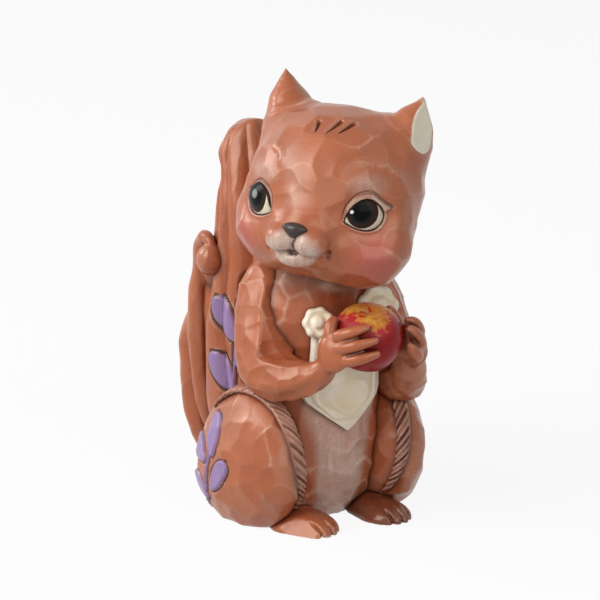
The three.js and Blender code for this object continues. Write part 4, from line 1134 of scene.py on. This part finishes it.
rosette = {
    "right": {"seat": (-6.6, -12.6, 44.0), "aim": (-0.4, -0.86, 0.3), "grow": 1.0, "bead": 1},
    "left": {"seat": (7.6, -12.2, 45.3), "aim": (0.02, -0.9, 0.42), "grow": 1.42, "bead": 0.6},
    "wide": 3.2, "high": 1.9, "petals": 7,
    "profile": [(0, 1.05), (0.26, 0.98), (0.4, 0.72), (0.48, 0.56), (0.6, 0.62), (0.8, 0.72), (0.94, 0.5),
                (1, 0.1)],
    "rear": [(0.8, -1.6), (0, -1.6)],
    "drop": {"at": (0.1, -4.1, 0.2), "half": (1.9, 1.35, 1.1)},  # bead below
}
for name in sides:
    kit = rosette[name]
    bm = bmesh.new()
    line = list(smoothPath(rosette["profile"], 36)) + rosette["rear"]
    rail = [bm.verts.new((max(x, 0) * rosette["wide"], 0, z * rosette["high"])) for x, z in line]
    rungs = [bm.edges.new(pair) for pair in zip(rail, rail[1:])]
    bmesh.ops.spin(bm, geom=rail + rungs, cent=(0, 0, 0), axis=(0, 0, 1), angle=math.tau, steps=90,
                   use_merge=True)
    bmesh.ops.remove_doubles(bm, verts=bm.verts, dist=0.0005)
    bmesh.ops.recalc_face_normals(bm, faces=bm.faces)
    for v in bm.verts:
        reach = math.hypot(v.co.x, v.co.y) / rosette["wide"]
        wave = math.cos(rosette["petals"] * math.atan2(v.co.y, v.co.x))
        scallop = 1 + 0.05 * wave * float(smooth(0.55, 1.0, reach))
        v.co.x *= scallop
        v.co.y *= scallop
        v.co.z += 0.1 * wave * float(smooth(0.5, 0.8, reach) * smooth(1.02, 0.9, reach))
    bead = bmesh.ops.create_icosphere(bm, subdivisions=4, radius=1)["verts"]
    wide, deep, high = rosette["drop"]["half"]
    bmesh.ops.scale(bm, vec=(wide * kit["bead"], deep * kit["bead"], high), verts=bead)
    bmesh.ops.translate(bm, vec=rosette["drop"]["at"], verts=bead)
    aim = Vector(unit(np.array(kit["aim"])))
    lay(bm, (kit["grow"],) * 3, kit["seat"], Vector((0, 0, 1)).rotation_difference(aim).to_matrix())
    mesh = meshFrom("rosette_skin", [bm])
    weather(mesh, 3, 8)
    finish(mesh, "bib_rosette_" + name, creamPaint)


# apple

apple = {
    "at": (0, -21, 42), "wide": 7.2, "high": 7.1, "lean": 12,
    "profile": [(-1.0, 0.80), (-0.95, 0.92), (-0.8, 1.0), (-0.4, 1.0), (0, 1.0), (0.5, 1.02), (0.85, 1.0),
                (0.97, 0.9), (1.0, 0.8)],  # dimples at the bottom and the top
}
bm = newBall(6)
dips = np.array(apple["profile"])
for v in bm.verts:
    up = v.co.z
    reach = float(np.interp(up, dips[:, 0], dips[:, 1]))
    belly = 1 + 0.05 * up
    v.co = (v.co.x * belly * apple["wide"], v.co.y * belly * apple["wide"], up * reach * apple["high"])
mesh = meshFrom("apple_skin", [bm])
co = coordsOf(mesh)
crown = co[:, 2] / apple["high"] + 0.12 * np.sin(3 * np.arctan2(co[:, 1], co[:, 0]) + 0.8)
setMask(mesh, "crown", np.clip(0.5 + (crown - 0.72) * 1.5, 0, 1))
mesh.transform(Matrix.Translation(apple["at"]) @ Matrix.Rotation(math.radians(apple["lean"]), 4, "X"))
finish(mesh, "apple", applePaint)


# arms and paws

arm = {
    "right": {
        "path": [(-8.2, -0.2, 55), (-11.4, 0, 49.4), (-13.1, -2.1, 42), (-14.8, -6, 34.4),
                 (-13.3, -12.6, 33.4), (-10, -17.6, 34.8), (-8.9, -20.3, 37.4)],
        "widths": [5.2, 6.5, 6.8, 6.4, 6.0, 5.0, 3.8, 2.8],
        "palm": [(112, -24, 2.0), (90, -15, 2.1), (66, -3, 1.5)],
        "fingers": [  # the last is the thumb
            [(80, 10, 1.9), (55, 20, 1.6), (28, 30, 1.15)],
            [(77, -5, 2.0), (48, 4, 1.7), (15, 12, 1.15)],
            [(73, -21, 1.9), (45, -14, 1.6), (13, -6, 1.15)],
            [(88, 4, 1.6), (96, 22, 1.5), (101, 36, 1.2)],
        ],
    },
    "left": {
        "path": [(8.5, -0.5, 54.5), (11.6, -1, 49.4), (13.8, -2.6, 43), (15.2, -4.5, 35), (15, -8.4, 28.8),
                 (14.3, -13.2, 30), (12.8, -16.6, 34), (11.6, -18.2, 37.8)],
        "widths": [5, 6, 6, 5.8, 5.6, 5.2, 4.4, 4.0, 2.8],
        "palm": [(108, -24, 3.2), (90, -14, 3.4), (72, -3, 2.0)],
        "back": [(107, -30, 7.2), (92, -20, 5.6), (81, -10, 4.6)],
        "fingers": [
            [(88, -4, 5.2), (77, 13, 3.0), (74, 21, 1.2)],
            [(75, -13, 4.7), (63, 5, 2.4), (57, 16, 1.0)],
            [(72, -25, 4.7), (58, -15, 2.4), (55, -6, 0.9)],
            [(104, 0, 2.0), (110, 20, 1.6), (112, 36, 1.2)],
        ],
    },
    "facets": [(78, 0.76), (147, 0.9), (208, 0.93), (10, 0.9)],  # flats along the arm: angle, how far out
    "palmHalf": [3.2, 4.0, 4.3],
    "backHalf": [3.0, 3.4, 3.0], "backDeep": [2.4, 2.1, 1.6],
    "finger": [1.56, 1.38, 1.08], "groove": 0.35, "grooveWide": 0.75,
    "voxel": 0.2,
    "knife": {"seed": 51, "size": 3.5, "soft": 0.08, "depth": 0.4},
}


def roundApple(side, spots):  # places by turn, lift and distance from the apple's skin
    places = []
    for turn, lift, off in spots:
        a, b = math.radians(side * turn), math.radians(lift)
        ray = np.array([math.cos(b) * math.sin(a), -math.cos(b) * math.cos(a), math.sin(b)])
        places.append(np.array(apple["at"]) + ray * (apple["wide"] + off))
    return places


def flats(side):  # cross section of an arm: a round with flats cut along it
    def shape(angle, t):
        reach = np.ones(len(angle))
        for a, far in arm["facets"]:
            a = math.radians(a if side < 0 else 180 - a)
            lean = np.maximum(np.cos(angle - a), 0.05)
            reach = np.minimum(reach, far / lean)
        return 1 + (reach - 1) * smooth(0.05, 0.2, t) * smooth(0.95, 0.8, t)
    return shape


for name, side in sides.items():
    limb = arm[name]
    hand = roundApple(side, limb["palm"])
    parts = [bendBall({
        "points": limb["path"] + [tuple(hand[1])], "widths": limb["widths"],
        "facing": (1, 0, 0.3), "around": 72, "along": 120, "full": 0.5, "ripple": flats(side),
    }), bendBall({
        "points": hand, "widths": arm["palmHalf"], "depths": [off for turn, lift, off in limb["palm"]],
        "facing": (0, 0.3, 1), "around": 32, "along": 24,
    })]
    for finger in limb["fingers"]:
        parts.append(bendBall({
            "points": roundApple(side, finger), "widths": arm["finger"],
            "facing": (0, 0, 1), "around": 20, "along": 24,
        }))
    if "back" in limb:
        parts.append(bendBall({
            "points": roundApple(side, limb["back"]), "widths": arm["backHalf"], "depths": arm["backDeep"],
            "facing": (0, 0.3, 1), "around": 32, "along": 24,
        }))
    mesh = fuse(meshFrom("arm_skin", parts), arm["voxel"], 3)
    co = coordsOf(mesh)
    wrist = smooth(5.5, 2.5, awayFrom(co, (hand[0] + hand[1]) / 2))
    co += (relax(co, linksOf(mesh), 30) - co) * wrist[:, None]
    setCoords(mesh, co)
    away = awayFrom(co, apple["at"]) - apple["wide"]
    whittle(mesh, sharpen(arm["knife"], side), smooth(4, 8, away))
    grooves = np.zeros(len(co))
    for above, below in zip(limb["fingers"][:2], limb["fingers"][1:3]):  # painted shade in the gaps between the fingers
        between = (np.array(above) + np.array(below)) / 2
        between[0] = between[0] * 0.6 + between[1] * 0.4
        gap, share = pathGap(coordsOf(mesh), smoothPath(roundApple(side, between), 24))
        grooves = np.maximum(grooves, bell(gap, arm["grooveWide"]) * smooth(0, 0.25, share))
    press(mesh, -arm["groove"] * grooves)
    weather(mesh)
    addMask(mesh, "wash_and_shade", grooves)
    finish(mesh, "arm_" + name, fur)


# tail

tail = {
    "points": [(0, 21, -4), (0, 24, 15.7), (0, 25, 33), (0, 22.5, 55), (0, 27, 78.5)],
    "widths": [10.2, 12, 12.25, 10.7, 8.7], "depths": [10.6, 12.25, 11.7, 8.5, 5.5],
    "flutes": [-2.85, -2.2, -1.6, -0.95, -0.35, 0.35, 0.95, 1.6, 2.2, 2.85],
    "groove": 1.3 / 11, "grooveWide": 0.15, "swing": 0.55, "shoulder": 3.2,
    "hook": [((8.4, 29, 72.6), 2.6, 1.3), ((8.8, 28.5, 67.5), 2.6, -0.8)],  # swell and dip below the tip
    "knife": {"seed": 61, "size": 3.0, "soft": 0.09, "depth": 0.22, "stretch": (1, 1, 0.3)},
    "leaves": [
        ((14.6, 44.5), 5.4, 1.7, 96), ((19.8, 37.6), 5.2, 2.3, 64), ((14.6, 31.6), 5.0, 2.4, 126),
        ((20.8, 25.6), 5.0, 2.3, 58), ((15.4, 20.6), 4.4, 2.0, 128),
    ],
    "stalk": [(19.5, 12), (18.4, 22), (17.6, 32), (16.4, 42)],
    "rise": 0.45, "cut": (0.35, 0.35), "line": (0.8, 0.36, 0.28),
}


def flutes(angle, t):
    swell = np.ones(len(angle))
    for i, a in enumerate(tail["flutes"]):
        side = 1 if math.cos(a) > 0 else -1
        swing = side * math.copysign(1, a) * tail["swing"] * (1 - t) ** 2 * math.sin(abs(a))
        wander = a + 0.1 * np.sin(5.5 * t + 1.9 * i) + swing
        gap = np.abs((angle - wander + math.pi) % math.tau - math.pi)
        swell -= tail["groove"] * np.exp(-(gap / tail["grooveWide"]) ** 1.3) * smooth(0.0, 0.12, t)
    return swell


mesh = meshFrom("tail_skin", [bendBall({
    "points": tail["points"], "widths": tail["widths"], "depths": tail["depths"],
    "facing": (1, 0, 0), "around": 300, "along": 310, "full": 0.26, "ripple": flutes,
})])
co = coordsOf(mesh)
top = smooth(68, 79, co[:, 2])
co[:, 2] -= tail["shoulder"] * top * smooth(0, 9, np.abs(co[:, 0]))  # shoulders at the tip
setCoords(mesh, co)
hook = np.zeros(len(co))
for at, wide, out in tail["hook"]:
    hook += out * bell(awayFrom(np.abs(co), at), wide)
press(mesh, hook)
sitFlat(mesh)
whittle(mesh, tail["knife"])
co = coordsOf(mesh)
layLeaves(mesh, tail, smooth(5.5, 7, np.abs(co[:, 0])))
setMask(mesh, "wear_and_highlight", getMask(mesh, "wear_and_highlight") * smooth(77.5, 75, co[:, 2]))
finish(mesh, "tail", fur)


# curls and locks laid on the tail

locks = {
    "wide": 12.25, "rear": 36.75, "thick": 2.8, "voxel": 0.2,
    "stem": [(6, 6.2, 5.4), (22.5, 3, 5.2), (37.5, 1.6, 5.6)],  # height, inward, forward
    "scroll": [(9.9, 31.0, 46.5), (10.4, 29.9, 51.8), (11.0, 26.6, 54.2), (11.2, 23.6, 52.6)],
    "stemWidths": [0.7, 1, 0.95, 0.85, 0.75, 0.6],  # shares of the thickness
    "ball": {"at": (11.0, 24.5, 49.7), "radius": 3.2, "stretch": (1.05, 1, 1.1)},
    "web": {"at": (8.4, 27.4, 47.6), "half": (2.7, 4.4, 6.6)},
    "lock": [(2, 6, 3.4), (13.2, 4, 0.6), (27.5, 3.2, -0.6), (35.5, 4.2, 0)],
    "lockWidths": [0.83, 1.05, 1.0, 1.02],
    "back": [(0, 3, 3), (-1.5, 0, 21), (1.5, 1, 42), (-1, 5, 60)],  # across, forward of the rear, height
    "backWidths": [1, 1.25, 1.1, 0.67],
    "knife": {"seed": 71, "size": 3.2, "soft": 0.1, "depth": 0.34, "stretch": (1, 1, 0.4)},
}


def rearCorner(side, height, inward, forward):
    return np.array([side * (locks["wide"] - inward), locks["rear"] - forward, height])


def bendLock(points, widths, around, along, full=0.4):
    return bendBall({
        "points": points, "widths": [locks["thick"] * w for w in widths],
        "facing": (1, 0, 0), "around": around, "along": along, "full": full,
    })


for name, side in sides.items():
    points = [rearCorner(side, *spot) for spot in locks["stem"]]
    points += [np.array(mirrored(at, side)) for at in locks["scroll"]]
    stem = bendLock(points, locks["stemWidths"], 32, 90)
    knob = newBall(4, locks["ball"]["radius"])
    lay(knob, locks["ball"]["stretch"], mirrored(locks["ball"]["at"], side))
    web = newBall(4)
    lay(web, locks["web"]["half"], mirrored(locks["web"]["at"], side))
    mesh = fuse(meshFrom("curl_skin", [stem, knob, web]), locks["voxel"], 4)
    whittle(mesh, sharpen(locks["knife"], side))
    weather(mesh)
    finish(mesh, "tail_curl_" + name, fur)
    points = [rearCorner(side, *spot) for spot in locks["lock"]]
    mesh = meshFrom("lock_skin", [bendLock(points, locks["lockWidths"], 70, 110, 0.3)])
    sitFlat(mesh)
    whittle(mesh, sharpen(locks["knife"], 10 + side))
    weather(mesh)
    # painted highlight along the top of each side lock, over the ridge wear
    addMask(mesh, "wear_and_highlight", 0.4 * smooth(29, 33, coordsOf(mesh)[:, 2]))
    finish(mesh, "tail_lock_" + name, fur)
points = [(x, locks["rear"] - forward, z) for x, forward, z in locks["back"]]
mesh = meshFrom("back_lock_skin", [bendLock(points, locks["backWidths"], 70, 150)])
sitFlat(mesh)
whittle(mesh, sharpen(locks["knife"], 20))
weather(mesh)
finish(mesh, "tail_lock_back", fur)


# dark wash and painted contact shade where pieces meet

seam_shade = {
    "reach": 0.0015, "dark": 0.85, "wide": 0.5,
    "clean": {"eye_right_piece", "eye_left_piece", "nose_piece"},
    "ears": {"ear_right_piece", "ear_left_piece"},  # they grow out of the head without a line
}
trees, boxes = {}, {}
for piece in finished:
    co, verts = coordsOf(piece.data), [v.co for v in piece.data.vertices]
    trees[piece.name] = BVHTree.FromPolygons(verts, [p.vertices for p in piece.data.polygons])
    boxes[piece.name] = (co.min(0) - seam_shade["reach"], co.max(0) + seam_shade["reach"])
for piece in finished:
    if piece.name in seam_shade["clean"]:
        continue
    co = coordsOf(piece.data)
    least = np.full(len(co), 9.0)
    for other in finished:
        pair = {other.name, piece.name}
        grown = "head_piece" in pair and pair & seam_shade["ears"]
        if other is piece or other.name in seam_shade["clean"] or grown:
            continue
        low, high = boxes[other.name]
        for i in np.nonzero(((co > low) & (co < high)).all(1))[0]:
            hit = trees[other.name].find_nearest(Vector(co[i]), seam_shade["reach"])
            if hit[3] is not None:
                least[i] = min(least[i], hit[3] / mm)
    # painted contact shade and wash along the seams
    setMask(piece.data, "seam_shade", seam_shade["dark"] * np.exp(-(least / seam_shade["wide"]) ** 1.2))
print("seams washed")


# floor, light and camera

stageKit = {
    "floor": 6.0, "grey": srgb(200, 200, 200), "glow": 0.9, "aim": (0, 0, 0.045),
    "key": {"at": (-0.82, -0.04, 0.66), "size": 0.72, "power": 8.9},
    "fill": {"at": (0.05, -0.95, 0.45), "size": 0.7, "power": 3.1},
    "rim": {"at": (-0.5, 0.66, 0.42), "size": 0.3, "power": 2.0},
    "ambient": 0.14,
}
bm = bmesh.new()
bmesh.ops.create_grid(bm, x_segments=1, y_segments=1, size=stageKit["floor"] / 2)
floorMesh = meshFrom("floor", [bm])
floor = bpy.data.objects.new("floor", floorMesh)
scene.collection.objects.link(floor)
paint, tree, shader = newFinish("floorWhite", 0.8, 0.2)
glow = tree.nodes.new("ShaderNodeEmission")
glow.inputs["Color"].default_value = (1, 1, 1, 1)
seen = seenNode(tree)
tree.links.new(over(tree, stageKit["grey"], (1, 1, 1, 1), seen), shader.inputs["Base Color"])
mix = tree.nodes.new("ShaderNodeMixShader")
tree.links.new(mathNode(tree, "MULTIPLY", seen, stageKit["glow"]), mix.inputs[0])
tree.links.new(shader.outputs[0], mix.inputs[1])
tree.links.new(glow.outputs[0], mix.inputs[2])
tree.links.new(mix.outputs[0], tree.nodes["Material Output"].inputs["Surface"])
floorMesh.materials.append(paint)
floor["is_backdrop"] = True

world = bpy.data.worlds.new("studio")
scene.world = world
world.use_nodes = True
tree = world.node_tree
back = tree.nodes["Background"]
seen = seenNode(tree)
tree.links.new(spread(tree, seen, 0, 1, (stageKit["ambient"], 1)), back.inputs["Strength"])
back.inputs["Color"].default_value = (1, 1, 1, 1)

middle = Vector(stageKit["aim"])
for name in ("key", "fill", "rim"):
    kit = stageKit[name]
    lamp = bpy.data.lights.new(name, "AREA")
    lamp.size = kit["size"]
    lamp.energy = kit["power"]
    holder = bpy.data.objects.new(name, lamp)
    holder.location = kit["at"]
    holder.rotation_euler = (middle - Vector(kit["at"])).to_track_quat("-Z", "Y").to_euler()
    scene.collection.objects.link(holder)

view = {"turn": -30, "rise": 15, "away": 0.7, "aim": (-0.00269, 0.00155, 0.045), "angle": 10.14}
turn, rise = math.radians(view["turn"]), math.radians(view["rise"])
behind = Vector((math.sin(turn) * math.cos(rise), -math.cos(turn) * math.cos(rise), math.sin(rise)))
lens = bpy.data.cameras.new("camera")
lens.angle = math.radians(view["angle"])
lens.clip_start = 0.01
lens.clip_end = 20
camera = bpy.data.objects.new("camera", lens)
camera.location = Vector(view["aim"]) + behind * view["away"]
camera.rotation_euler = (-behind).to_track_quat("-Z", "Y").to_euler()
scene.collection.objects.link(camera)
scene.camera = camera
scene.view_settings.view_transform = "Standard"
print("stage set")

low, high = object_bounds()
